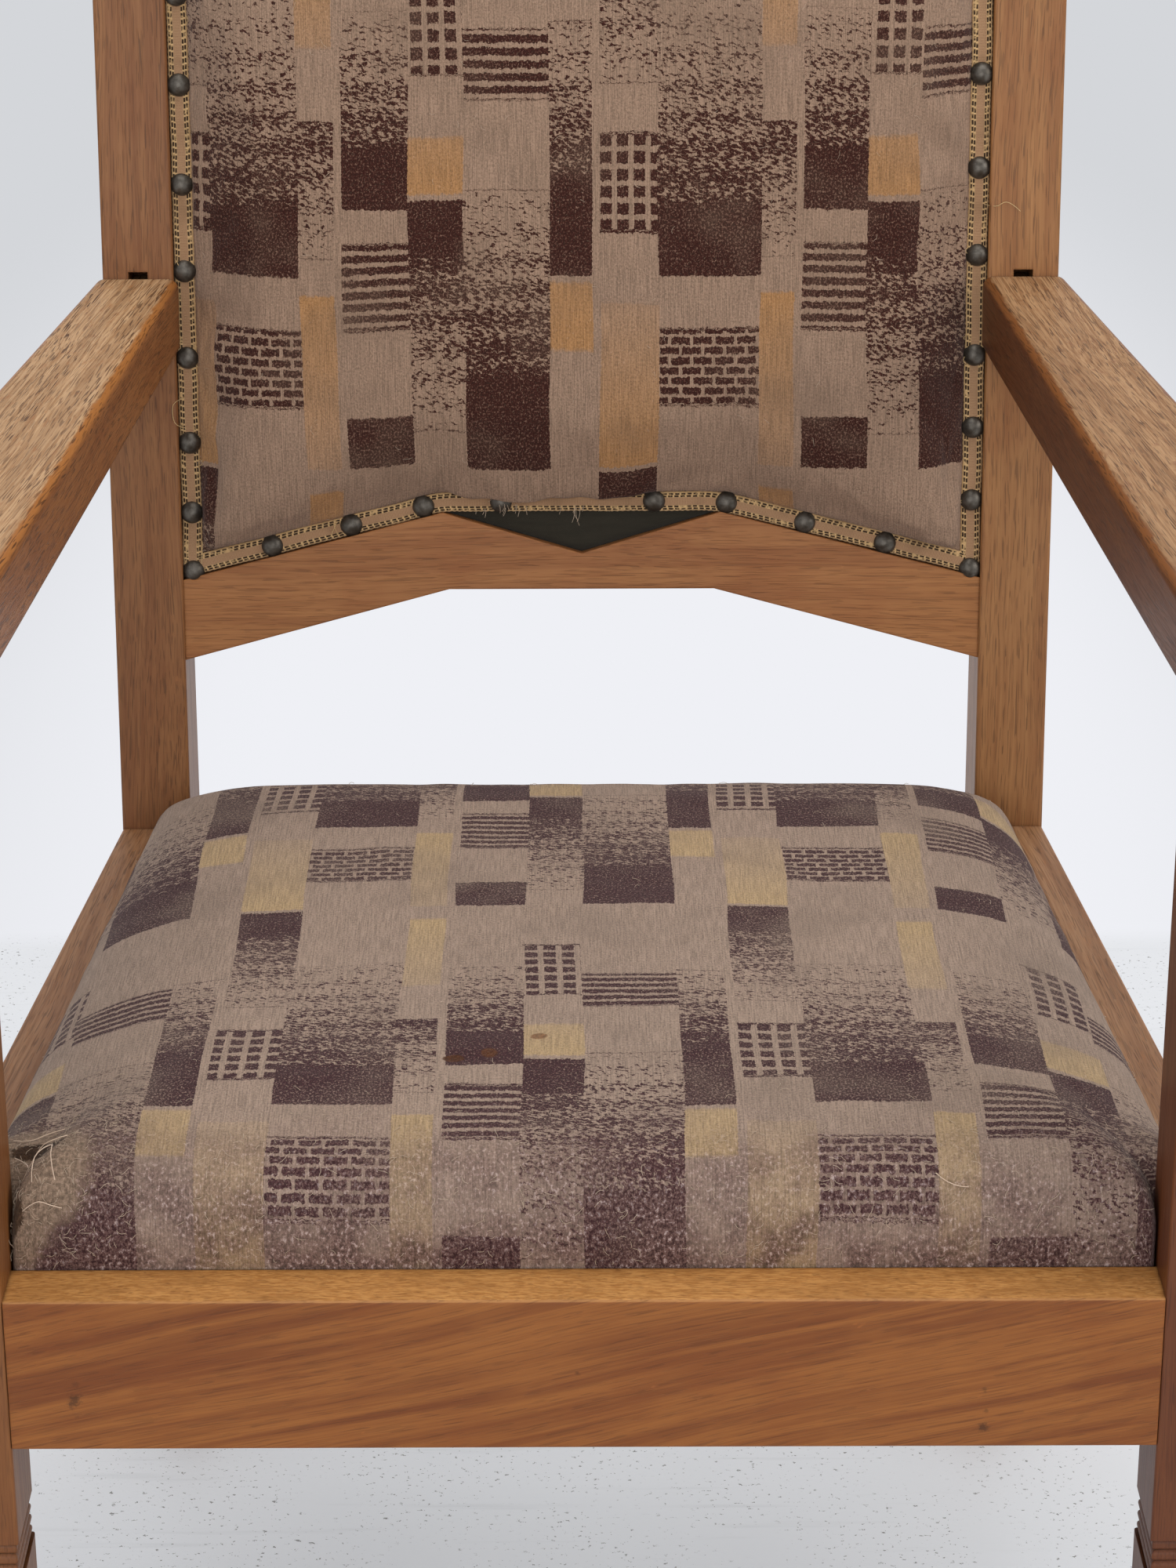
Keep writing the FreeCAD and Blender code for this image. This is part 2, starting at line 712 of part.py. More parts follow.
def make_pad_frame():
    """Stiles and cross members of the pad, half lapped at the corners."""
    stile = box(post_inner - pad_stile_width, post_inner, pad_front, pad_back,
                pad_frame_bottom, pad_frame_top)
    bottom = box(-post_inner, post_inner, pad_front, pad_back, pad_frame_bottom,
                 pad_frame_bottom + pad_frame_width)
    top = box(-post_inner, post_inner, pad_front, pad_back, pad_frame_top - pad_frame_width,
              pad_frame_top)
    middle = (pad_front + pad_back) / 2
    rear = box(-post_inner, post_inner, middle, pad_back, pad_frame_bottom, pad_frame_top)
    fore = box(-post_inner, post_inner, pad_front, middle, pad_frame_bottom, pad_frame_top)
    stiles = both_sides(stile)
    right = stile.cut(bottom.common(fore)).cut(top.common(fore))
    return {"back_frame_right": right, "back_frame_left": mirrored(right),
            "back_frame_bottom": bottom.cut(stiles.common(rear)),
            "back_frame_top": top.cut(stiles.common(rear))}


def make_back_webbing():
    """Strips up the back and across it, on the front of the pad's frame."""
    area = pad_outline(back_web_inset)
    middle = pad_front - webbing_thickness
    near = pad_front - 2 * webbing_thickness
    half = webbing_width / 2
    low, high = pad_frame_bottom, pad_frame_top
    upright = [box(x - half, x + half, middle, pad_front, low, high)
               for x in [(index - 1.5) * back_webbing_pitch for index in range(4)]]
    centre = (low + high + lower_rail_peak_top - lower_rail_end_top) / 2
    across = [box(-post_inner, post_inner, near, middle, z - half, z + half)
              for z in [centre + step * back_webbing_cross_pitch for step in (-1, 0, 1)]]
    upright_area = plate(area, middle, pad_front)
    across_area = plate(area, near, middle)
    return (Part.makeCompound([strip.common(upright_area) for strip in upright]),
            Part.makeCompound([strip.common(across_area) for strip in across]))


def make_gimp():
    """Braid on each edge of the cover, mitred at the corners."""
    outer = pad_outline(gimp_gap)
    inner = pad_outline(gimp_gap + gimp_width)
    base = pad_front - lining_thickness - cover_thickness
    def strip(indices):
        points = [outer[i] for i in indices] + [inner[i] for i in reversed(indices)]
        return plate(points, base - gimp_thickness, base)
    return {"gimp_bottom": strip([0, 1, 2, 3]), "gimp_right": strip([3, 4]),
            "gimp_top": strip([4, 5]), "gimp_left": strip([5, 0])}


def nail_places():
    """Places of the decorative nails on the middle line of the gimp."""
    line = pad_outline(gimp_gap + gimp_width / 2)
    foot, peak, top = line[3], line[2], line[4][1]
    places = []
    for side, steps in ((-1, nail_steps_left), (1, nail_steps_right)):
        height = foot[1] - corner_nail_drop
        places.append((side * foot[0], height))
        for step in steps:
            height += step
            places.append((side * foot[0], height))
        while top - height > 1.5 * nail_pitch:
            height += nail_pitch
            places.append((side * foot[0], height))
        places.append((side * foot[0], top))
    slope = (peak[1] - foot[1]) / (foot[0] - peak[0])
    for x in nail_places_bottom:
        places.append((x, min(peak[1], foot[1] + slope * (foot[0] - abs(x)))))
    count = int(2 * foot[0] / nail_pitch)
    for index in range(1, count):
        places.append((foot[0] * (2 * index / count - 1), top))
    return places


def make_nails():
    """Domed heads with their shanks, one solid each."""
    radius = ((nail_head / 2) ** 2 + nail_rise ** 2) / (2 * nail_rise)
    face = pad_front - lining_thickness - cover_thickness - gimp_thickness
    ball = Part.makeSphere(radius, Vector(0, face - nail_rise + radius, 0))
    head = ball.common(box(-nail_head, nail_head, face - nail_head, face, -nail_head, nail_head))
    shank = Part.makeCylinder(nail_shank / 2, nail_length, Vector(0, face, 0), Vector(0, 1, 0))
    nail = head.fuse(shank)
    nails = []
    for x, z in nail_places():
        one = nail.copy()
        one.translate(Vector(x, 0, z))
        nails.append(one)
    return Part.makeCompound(nails)


def pad_screws():
    """Screws from the right stile of the pad's frame into the post."""
    inset = pad_frame_width + pad_screw_inset
    depth = (pad_front + pad_back) / 2
    one = screw(pad_screw_length)
    return [aimed(one, Vector(post_inner - pad_stile_width, depth, height), Vector(1, 0, 0))
            for height in (pad_frame_bottom + inset, pad_frame_top - inset)]


def outside_tacks():
    """Tacks that hold the outside cloth to the back of the pad's frame."""
    rows = []
    low = pad_frame_bottom + pad_stile_width / 2
    high = pad_frame_top - pad_stile_width / 2
    side = post_inner - pad_stile_width / 2
    up = max(2, round((high - low) / tack_pitch))
    across = max(2, round(2 * side / tack_pitch))
    rows += [(-side, low + (high - low) * index / up) for index in range(up + 1)]
    rows += [(side, low + (high - low) * index / up) for index in range(up + 1)]
    rows += [(side * (2 * index / across - 1), low) for index in range(1, across)]
    rows += [(side * (2 * index / across - 1), high) for index in range(1, across)]
    place = pad_back + outside_cloth_thickness
    return Part.makeCompound([aimed(tack(), Vector(x, place, z), Vector(0, -1, 0))
                              for x, z in rows])


def make_back():
    """All pieces of the upholstered back by name."""
    pieces = make_pad_frame()
    pieces["back_webbing_upright"], pieces["back_webbing_cross"] = make_back_webbing()
    near = pad_front - web_stack
    pieces["back_hessian"] = plate(pad_outline(back_web_inset), near, near + hessian_thickness)
    core = pad_body(0.0)
    slab = box(-front_width, front_width, near, near + seat_depth, 0, post_top)
    pieces["back_stuffing"] = core.cut(slab)
    nails = make_nails()
    pieces["back_nails"] = nails
    lining_edge = [(-x, z) for x, z in lower_rail_profile()] + pad_outline(0)[4:]
    lining_sheet = plate(inset_outline(lining_edge, gimp_gap / 3), pad_front - lining_thickness,
                         pad_front)
    lining_body = pad_body(lining_thickness)
    pieces["back_lining"] = lining_sheet.cut(nails).fuse(lining_body).cut(core)
    cover_base = pad_front - lining_thickness - cover_thickness
    cover_sheet = plate(pad_outline(gimp_gap), cover_base, cover_base + cover_thickness)
    cover_body = pad_body(lining_thickness + cover_thickness)
    cover = cover_sheet.cut(nails).fuse(cover_body)
    pieces["back_cover"] = cover.cut(lining_body).cut(lining_sheet)
    pieces.update(make_gimp())
    margin = gimp_gap
    pieces["outside_back_cloth"] = box(margin - post_inner, post_inner - margin, pad_back,
                                       pad_back + outside_cloth_thickness,
                                       pad_frame_bottom + margin, pad_frame_top - margin)
    for name in ("back_frame_right", "back_frame_left", "back_frame_bottom", "back_frame_top",
                 "gimp_bottom", "gimp_right", "gimp_top", "gimp_left"):
        pieces[name] = pieces[name].cut(nails)
    screws = pad_screws()
    pieces["back_frame_screws"] = Part.makeCompound(screws + [mirrored(s) for s in screws])
    for name in ("back_frame_right", "back_frame_left"):
        pieces[name] = pieces[name].cut(pieces["back_frame_screws"])
    tacks = outside_tacks()
    pieces["outside_cloth_tacks"] = tacks
    for name in ("back_frame_right", "back_frame_left", "back_frame_bottom", "back_frame_top",
                 "outside_back_cloth"):
        pieces[name] = pieces[name].cut(tacks)
    return pieces


def make_chair():
    nodes = {}
    back = make_back()
    screws = block_screws()
    all_screws = Part.makeCompound(screws + [mirrored(s) for s in screws])
    post = make_post()
    for one in pad_screws():
        post = post.cut(on_back(one))
    arm = make_arm()
    leg = make_front_leg()
    side_rail = make_side_rail().cut(all_screws)
    for name, shape in (("back_post", post), ("front_leg", leg), ("side_rail", side_rail),
                        ("arm", arm), ("corner_block_front", make_block(front_block_plan())),
                        ("corner_block_back", make_block(back_block_plan()))):
        nodes[name + "_right"] = shape
        nodes[name + "_left"] = mirrored(shape)
    nodes["front_rail"] = make_front_rail().cut(all_screws)
    nodes["back_seat_rail"] = make_back_seat_rail().cut(all_screws)
    nodes["lower_back_rail"] = on_back(make_lower_back_rail().cut(back["back_nails"]))
    nodes["top_back_rail"] = on_back(make_top_back_rail())
    nodes["corner_block_screws"] = all_screws
    for name, shape in back.items():
        nodes[name] = on_back(shape)
    nodes.update(make_drop_in_seat())
    return nodes


def main():
    os.makedirs("parts", exist_ok=True)
    rearmost = seat_depth + max((post_top - seat_rail_top) * rake_tangent + post_top_depth,
                                foot_splay + post_foot_depth)
    centring = Vector(0, (arm_nose - rearmost) / 2, 0)
    for name, shape in make_chair().items():
        shape.translate(centring)
        shape.exportStep(os.path.join("parts", name + ".step"))
        print(name, len(shape.Solids), round(shape.Volume / 1000, 2), shape.isValid())
    print("moved back to front by", round(centring.y, 3))


main()
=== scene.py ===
import math
import random

import bpy
from mathutils import Matrix, Vector, noise
from mathutils.bvhtree import BVHTree


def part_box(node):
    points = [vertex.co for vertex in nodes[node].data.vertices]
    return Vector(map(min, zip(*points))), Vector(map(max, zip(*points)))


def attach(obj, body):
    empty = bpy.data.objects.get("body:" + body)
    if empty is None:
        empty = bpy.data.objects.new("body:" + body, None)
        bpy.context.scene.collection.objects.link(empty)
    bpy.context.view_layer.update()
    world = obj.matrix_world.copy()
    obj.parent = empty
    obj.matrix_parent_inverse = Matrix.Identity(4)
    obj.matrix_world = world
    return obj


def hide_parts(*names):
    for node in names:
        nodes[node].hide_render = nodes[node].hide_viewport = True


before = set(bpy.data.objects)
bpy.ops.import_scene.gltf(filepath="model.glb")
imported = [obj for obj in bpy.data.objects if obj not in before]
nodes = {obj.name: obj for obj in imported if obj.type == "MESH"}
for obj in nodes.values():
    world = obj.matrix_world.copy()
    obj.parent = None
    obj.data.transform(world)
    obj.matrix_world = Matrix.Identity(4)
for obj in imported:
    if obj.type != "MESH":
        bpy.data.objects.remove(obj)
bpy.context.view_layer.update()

# Sizes of the chair that the soft pieces follow, in metres
rail_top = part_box("front_rail")[1].z
front_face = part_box("front_rail")[0].y
front_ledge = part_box("front_rail")[1].y
leg_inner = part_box("front_leg_right")[0].x
leg_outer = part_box("front_leg_right")[1].x
leg_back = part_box("front_leg_right")[1].y
seat_depth = 0.5088
side_ledge = 0.0205
post_outer = 0.2500
post_inner = 0.2129
posts_face = front_face + seat_depth
rake = math.radians(6.8)
splay = math.atan2(leg_outer - post_outer, seat_depth)

# Back pad, measured in its own plane: across, up the slope from the rails, depth behind the posts
lip_end = 0.1380
lip_peak = 0.1742
lip_peak_half = 0.0740
notch_foot = 0.1519
pad_top = 0.5000
lining_depth = 0.0071
cover_base = 0.0051
gimp_width = 0.0104
gimp_gap = 0.0003
gimp_rise = 0.0015
outside_depth = 0.0262
outside_low = 0.1453
outside_high = 0.5067


def on_back(across, depth, up):
    """Place of a point of the leaning back, from its own plane."""
    return Vector((across,
                   posts_face + depth * math.cos(rake) + up * math.sin(rake),
                   rail_top + up * math.cos(rake) - depth * math.sin(rake)))


def off_back(place):
    """Distances of a point from the leaning back's foot: up its slope and behind its face."""
    local = place - on_back(0, 0, 0)
    return (local.y * math.sin(rake) + local.z * math.cos(rake),
            local.y * math.cos(rake) - local.z * math.sin(rake))


def smooth_step(share):
    """Smooth change from 0 to 1."""
    share = max(0.0, min(1.0, share))
    return share * share * (3 - 2 * share)


def linear(red, green, blue):
    """Colour as seen on a screen, 0 to 255, turned to the renderer's scale."""
    return tuple((c / 255 / 12.92) if c <= 10 else ((c / 255 + 0.055) / 1.055) ** 2.4
                 for c in (red, green, blue))


def times(colour, factor):
    return tuple(min(1.0, part * factor) for part in colour)


# Camera, at the photograph's angle

def make_camera():
    data = bpy.data.cameras.new("camera")
    camera = bpy.data.objects.new("camera", data)
    bpy.context.scene.collection.objects.link(camera)
    data.sensor_width = 36.0
    data.lens = 88.2
    tilt, turn, roll = math.radians(67.565), math.radians(-0.092), math.radians(-0.15)
    place = Vector((0.0, front_face - 1.4136, rail_top + 0.8193))
    aim = Matrix.Rotation(turn, 4, "Z") @ Matrix.Rotation(tilt, 4, "X") @ Matrix.Rotation(roll, 4, "Z")
    camera.matrix_world = Matrix.Translation(place) @ aim
    bpy.context.scene.camera = camera


# Node graphs

class Graph:
    """Short ways to add shader nodes to one material."""

    def __init__(self, name):
        self.material = bpy.data.materials.new(name)
        self.material.use_nodes = True
        self.tree = self.material.node_tree
        self.tree.nodes.clear()

    def add(self, kind, inputs=None, **settings):
        node = self.tree.nodes.new(kind)
        for key, value in settings.items():
            setattr(node, key, value)
        for key, value in (inputs or {}).items():
            if isinstance(value, bpy.types.NodeSocket):
                self.tree.links.new(value, node.inputs[key])
            else:
                node.inputs[key].default_value = value
        return node

    def math(self, operation, first, second=0.0, third=0.0, clamp=False):
        values = {0: first, 1: second, 2: third}
        return self.add("ShaderNodeMath", values, operation=operation, use_clamp=clamp).outputs[0]

    def vector(self, operation, first, second):
        return self.add("ShaderNodeVectorMath", {0: first, 1: second},
                        operation=operation).outputs[0]

    def mix(self, factor, first, second, blend="MIX"):
        node = self.add("ShaderNodeMix", data_type="RGBA", blend_type=blend)
        for index, value in ((0, factor), (6, first), (7, second)):
            if isinstance(value, bpy.types.NodeSocket):
                self.tree.links.new(value, node.inputs[index])
            elif index:
                node.inputs[index].default_value = (*value, 1.0)
            else:
                node.inputs[index].default_value = value
        return node.outputs[2]

    def noise(self, vector, scale, detail=2.0, roughness=0.5):
        return self.add("ShaderNodeTexNoise", {
            "Vector": vector, "Scale": scale, "Detail": detail,
            "Roughness": roughness}).outputs["Fac"]

    def step(self, value, low, high):
        """Smooth change from 0 at low to 1 at high; low may be the larger."""
        return self.add("ShaderNodeMapRange", {
            "Value": value, "From Min": low, "From Max": high, "To Min": 0.0, "To Max": 1.0},
            interpolation_type="SMOOTHSTEP", clamp=True).outputs[0]

    def ramp(self, factor, stops):
        node = self.add("ShaderNodeValToRGB", {"Fac": factor})
        elements = node.color_ramp.elements
        elements[0].position, elements[0].color = stops[0][0], (*stops[0][1], 1.0)
        elements[1].position, elements[1].color = stops[1][0], (*stops[1][1], 1.0)
        for position, colour in stops[2:]:
            elements.new(position).color = (*colour, 1.0)
        return node.outputs[0]

    def stretch(self, vector, x, y, z):
        return self.vector("MULTIPLY", vector, (x, y, z))

    def parts(self, vector):
        return self.add("ShaderNodeSeparateXYZ", {0: vector}).outputs

    def bump(self, height, distance, strength=1.0, normal=None):
        inputs = {"Height": height, "Distance": distance, "Strength": strength}
        if normal is not None:
            inputs["Normal"] = normal
        return self.add("ShaderNodeBump", inputs).outputs[0]

    def finish(self, colour, roughness, normal=None, **settings):
        """Principled surface; settings are the names and values of more of its sockets."""
        inputs = {"Base Color": colour, "Roughness": roughness}
        if normal is not None:
            inputs["Normal"] = normal
        inputs.update({key.replace("_", " "): value for key, value in settings.items()})
        shader = self.add("ShaderNodeBsdfPrincipled", inputs)
        self.add("ShaderNodeOutputMaterial", {"Surface": shader.outputs[0]})
        return self.material


# Oak

def grain_space(graph, along, turn):
    """Object coordinates with the grain along x; turn aligns a slanting piece first."""
    source = graph.add("ShaderNodeTexCoord").outputs["Object"]
    turned = graph.add("ShaderNodeMapping", {"Vector": source, "Rotation": turn}).outputs[0]
    parts = graph.parts(turned)
    order = {"X": (0, 1, 2), "Y": (1, 0, 2), "Z": (2, 0, 1)}[along]
    return graph.add("ShaderNodeCombineXYZ", {
        index: parts[source_index] for index, source_index in enumerate(order)}).outputs[0]


def oak(name, along, turn=(0, 0, 0), seed=0.0, tone=(150, 98, 60), pores=0.5, bands=0.5,
        pith=(0.09, 0.02), bare=0.0, knots=(), worn_and_lit_tones=((190, 152, 112), (152, 112, 76)),
        worn_and_lit_rim_tone=(180, 116, 56), polish=0.03):
    """Open-pored oak: soft year bands, fibres, pores, worn arrises, old varnish and painted shade in
    crevices; bare is how far the upward faces turn to their paler tones, partly varnish worn away
    and partly painted light, with a lighter rim on their sloping edges, partly painted highlight."""
    g = Graph("oak_" + name)
    base = linear(*tone)
    space = grain_space(g, along, turn)
    space = g.vector("ADD", space, (seed * 1.37, seed * 0.61, seed * 0.23))
    sway = g.noise(g.stretch(space, 3.0, 14.0, 14.0), 1.0, 2.0)
    lift = g.noise(g.stretch(space, 4.1, 11.0, 11.0), 1.0, 1.0)
    wander = g.add("ShaderNodeCombineXYZ", {
        1: g.math("MULTIPLY", sway, 0.020), 2: g.math("MULTIPLY", lift, 0.020)}).outputs[0]
    lines = g.vector("ADD", space, wander)
    parts = g.parts(lines)
    side = g.math("ADD", parts[1], pith[0] - seed * 0.61)
    deep = g.math("ADD", parts[2], pith[1] - seed * 0.23)
    radius = g.math("SQRT", g.math("ADD", g.math("MULTIPLY", side, side),
                                   g.math("MULTIPLY", deep, deep)))
    year = g.math("FRACT", g.math("DIVIDE", radius, 0.0046))
    early = g.math("POWER", g.math("SUBTRACT", 1.0, year, clamp=True), 2.2)
    soft = g.noise(g.stretch(lines, 2.5, 105.0, 105.0), 1.0, 2.0, 0.55)
    fibre = g.noise(g.stretch(lines, 14.0, 820.0, 820.0), 1.0, 3.0, 0.6)
    dash = g.noise(g.stretch(lines, 70.0, 1500.0, 1500.0), 1.0, 0.0, 0.0)
    pore = g.step(dash, 0.58, 0.65)
    pore = g.math("MULTIPLY", pore, g.math("MULTIPLY_ADD", early, 0.55, 0.45))
    blotch = g.noise(space, 15.0, 3.0, 0.6)

    pale = (base[0] * 1.12, base[1] * 1.20, base[2] * 1.18)
    dark = (base[0] * 0.66, base[1] * 0.56, base[2] * 0.50)
    colour = g.mix(g.math("MULTIPLY", g.step(soft, 0.40, 0.66), bands), pale, dark)
    colour = g.mix(g.math("MULTIPLY", early, 0.26 * bands), colour, dark)
    colour = g.mix(g.math("MULTIPLY", g.step(fibre, 0.46, 0.70), 0.44), colour, dark)
    colour = g.mix(g.math("MULTIPLY", g.step(fibre, 0.47, 0.30), 0.32), colour,
                   (base[0] * 1.36, base[1] * 1.48, base[2] * 1.45))
    colour = g.mix(g.math("MULTIPLY", g.step(blotch, 0.48, 0.70), 0.42), colour,
                   (base[0] * 0.80, base[1] * 0.66, base[2] * 0.56))
    colour = g.mix(g.math("MULTIPLY", g.step(blotch, 0.48, 0.30), 0.36), colour,
                   (base[0] * 1.22, base[1] * 1.34, base[2] * 1.36))

    soft_normal = g.add("ShaderNodeBevel", {"Radius": 0.0016}, samples=3).outputs[0]
    geometry = g.add("ShaderNodeNewGeometry")
    turned = g.add("ShaderNodeVectorMath", {0: soft_normal, 1: geometry.outputs["Normal"]},
                   operation="DOT_PRODUCT").outputs["Value"]
    edge = g.step(turned, 0.992, 0.88)
    chips = g.noise(g.stretch(space, 90.0, 260.0, 260.0), 1.0, 3.0, 0.6)
    edge = g.math("MULTIPLY", edge, g.step(chips, 0.36, 0.60))
    colour = g.mix(g.math("MULTIPLY", edge, 0.50), colour,
                   (min(1.0, base[0] * 1.75), base[1] * 1.65, base[2] * 1.25))
    rough = g.math("MULTIPLY_ADD", fibre, 0.20, 0.34)

    # Upward faces turn to paler tones and their sloping edges to an orange rim: partly varnish worn
    # from the tops, partly painted light on the tops and painted highlight on the rounded edges.
    if bare:
        upward = g.parts(geometry.outputs["Normal"])[2]
        ragged = g.math("MULTIPLY_ADD", g.math("SUBTRACT", chips, 0.5), 0.30, upward)
        worn_and_lit_top = g.math("MULTIPLY", g.step(ragged, 0.86, 0.99), bare)
        light, dark = linear(*worn_and_lit_tones[0]), linear(*worn_and_lit_tones[1])
        plain = g.mix(g.step(fibre, 0.38, 0.64), light, dark)
        plain = g.mix(g.math("MULTIPLY", g.step(soft, 0.42, 0.64), 0.45), plain,
                      times(dark, 0.82))
        colour = g.mix(worn_and_lit_top, colour, plain)
        rim = g.math("MULTIPLY", g.step(ragged, 0.30, 0.66), g.step(ragged, 1.0, 0.84))
        colour = g.mix(g.math("MULTIPLY", rim, 0.55), colour, linear(*worn_and_lit_rim_tone))
        rough = g.math("MULTIPLY_ADD", worn_and_lit_top, 0.22, rough)
    colour = g.mix(g.math("MULTIPLY", pore, pores), colour, times(base, 0.26))

    scuff = g.step(g.noise(g.stretch(space, 70.0, 210.0, 210.0), 1.0, 3.0, 0.6), 0.70, 0.76)
    colour = g.mix(g.math("MULTIPLY", scuff, 0.26), colour, times(base, 1.8))
    # Painted shade: the wood darkens where nearby surfaces hem it in.
    crevice_shade = g.add("ShaderNodeAmbientOcclusion", {"Distance": 0.005}, samples=4).outputs["AO"]
    colour = g.mix(g.math("MULTIPLY", g.step(crevice_shade, 0.74, 0.30), 0.62), colour,
                   times(base, 0.18))
    blemish = g.noise(g.stretch(space, 260.0, 420.0, 260.0), 1.0, 3.0, 0.7) if knots else None
    for place, size, depth in knots:
        source = g.add("ShaderNodeTexCoord").outputs["Object"]
        away = g.add("ShaderNodeVectorMath", {0: source, 1: place}, operation="DISTANCE")
        spread = g.math("MULTIPLY_ADD", blemish, size * 3.0, away.outputs["Value"])
        mark = g.step(spread, size * 2.5, size * 1.6)
        colour = g.mix(g.math("MULTIPLY", mark, depth), colour, times(base, 0.24))

    relief = g.math("SUBTRACT", g.math("MULTIPLY", fibre, 0.25),
                    g.math("MULTIPLY", pore, 0.5 + pores))
    normal = g.bump(relief, 0.00020, 0.50, soft_normal)
    wave = g.noise(g.stretch(space, 7.0, 55.0, 55.0), 1.0, 2.0)
    normal = g.bump(wave, 0.0006, 0.30, normal)
    return g.finish(colour, rough, normal, Coat_Weight=polish, Coat_Roughness=0.14,
                    Specular_IOR_Level=0.25)


# Other plain materials

def beech(name, along):
    g = Graph("beech_" + name)
    space = grain_space(g, along, (0, 0, 0))
    fleck = g.noise(g.stretch(space, 160.0, 900.0, 900.0), 1.0, 1.0, 0.4)
    band = g.noise(g.stretch(space, 4.0, 70.0, 70.0), 1.0, 3.0)
    colour = g.mix(band, linear(206, 168, 122), linear(176, 134, 90))
    colour = g.mix(g.math("MULTIPLY", g.step(fleck, 0.58, 0.66), 0.5), colour,
                   linear(140, 98, 62))
    normal = g.bump(fleck, 0.0002, 0.4)
    return g.finish(colour, g.math("MULTIPLY_ADD", band, 0.2, 0.55), normal)


def worn_metal(name, dark, bright, metallic, rough, patch=420.0):
    g = Graph(name)
    space = g.add("ShaderNodeTexCoord").outputs["Object"]
    patches = g.noise(space, patch, 3.0, 0.6)
    spots = g.noise(space, 1900.0, 2.0)
    colour = g.mix(g.step(patches, 0.36, 0.68), dark, bright)
    colour = g.mix(g.math("MULTIPLY", g.step(spots, 0.60, 0.70), 0.4), colour, dark)
    roughness = g.math("MULTIPLY_ADD", patches, 0.22, rough - 0.10)
    normal = g.bump(g.math("ADD", patches, g.math("MULTIPLY", spots, 0.3)), 0.00012, 0.25)
    return g.finish(colour, roughness, normal, Metallic=metallic)


def plain_weave(name, dark, light, pitch, fuzz=0.3, sheen=0.2):
    """Woven cloth whose threads cross at the given pitch, drawn from its place in space."""
    g = Graph(name)
    space = g.add("ShaderNodeTexCoord").outputs["Object"]
    bent = g.add("ShaderNodeMapping", {"Vector": space, "Rotation": (rake, 0, 0)}).outputs[0]
    wobble = g.add("ShaderNodeTexNoise", {"Vector": bent, "Scale": 60.0}).outputs["Color"]
    bent = g.vector("ADD", bent, g.vector("MULTIPLY", wobble, (0.0006, 0.0006, 0.0006)))
    parts = g.parts(bent)
    turn = 2 * math.pi / pitch
    across = g.math("SINE", g.math("MULTIPLY", parts[0], turn))
    along = g.math("SINE", g.math("MULTIPLY", g.math("ADD", parts[1], parts[2]), turn))
    weave = g.math("MULTIPLY", across, along)
    streak = g.noise(g.stretch(bent, 40.0, 500.0, 500.0), 1.0, 3.0, 0.6)
    lint = g.noise(space, 2600.0, 2.0, 0.6)
    level = g.math("MULTIPLY_ADD", weave, 0.25, g.math("MULTIPLY_ADD", streak, 0.6, 0.2))
    colour = g.mix(level, dark, light)
    colour = g.mix(g.math("MULTIPLY", g.step(lint, 0.56, 0.72), fuzz), colour,
                   tuple(min(1.0, c * 2.2 + 0.02) for c in light))
    normal = g.bump(g.math("ADD", weave, lint), pitch * 0.25, 0.6)
    return g.finish(colour, 0.92, normal, Sheen_Weight=sheen, Sheen_Roughness=0.5,
                    Specular_IOR_Level=0.2)


def thread_material(name, light, dark):
    g = Graph(name)
    space = g.add("ShaderNodeTexCoord").outputs["Object"]
    twist = g.noise(space, 1400.0, 2.0)
    colour = g.mix(twist, dark, light)
    return g.finish(colour, 0.85, g.bump(twist, 0.0001, 0.5), Sheen_Weight=0.3)


# Pile fabric

# The woven design's columns from left to right over one repeat: width in metres, then blocks up
# the column as (start, end, plum at both ends, ochre at both ends, figure)
repeat_width = 0.236
repeat_height = 0.312
plain, speckled, dotted, bricked, ribbed = range(5)
design = (
    (0.044, ((0.00, 0.15, 1.0, 1.0, 0.0, 0.0, plain), (0.15, 0.47, 1.0, 0.1, 0.0, 0.0, speckled),
             (0.62, 0.73, 1.0, 1.0, 0.0, 0.0, ribbed))),
    (0.022, ((0.20, 0.31, 0.0, 0.0, 0.9, 0.8, plain), (0.325, 0.50, 1.0, 1.0, 0.0, 0.0, plain),
             (0.50, 0.74, 0.95, 0.15, 0.0, 0.0, speckled))),
    (0.004, ()),
    (0.030, ((0.00, 0.28, 0.0, 0.0, 0.9, 0.25, plain), (0.40, 0.56, 1.0, 1.0, 0.0, 0.0, dotted),
             (0.64, 0.90, 0.15, 0.9, 0.0, 0.0, speckled), (0.90, 0.99, 1.0, 1.0, 0.0, 0.0, plain))),
    (0.052, ((0.11, 0.24, 1.0, 1.0, 0.0, 0.0, bricked), (0.33, 0.44, 1.0, 1.0, 0.0, 0.0, plain),
             (0.44, 0.78, 0.95, 0.1, 0.0, 0.0, speckled))),
    (0.018, ((0.00, 0.30, 0.0, 0.0, 0.3, 0.9, plain), (0.36, 0.58, 0.1, 0.85, 0.0, 0.0, speckled),
             (0.70, 0.95, 0.0, 0.0, 0.4, 0.9, plain))),
    (0.004, ()),
    (0.034, ((0.00, 0.09, 1.0, 1.0, 0.0, 0.0, plain), (0.24, 0.38, 1.0, 1.0, 0.0, 0.0, ribbed),
             (0.44, 0.54, 1.0, 1.0, 0.0, 0.0, plain), (0.54, 0.76, 0.9, 0.1, 0.0, 0.0, speckled))),
    (0.028, ((0.06, 0.36, 0.1, 0.95, 0.0, 0.0, speckled), (0.36, 0.45, 1.0, 1.0, 0.0, 0.0, plain),
             (0.465, 0.56, 0.0, 0.0, 0.9, 0.7, plain), (0.66, 0.84, 0.9, 0.9, 0.0, 0.0, dotted))),
)


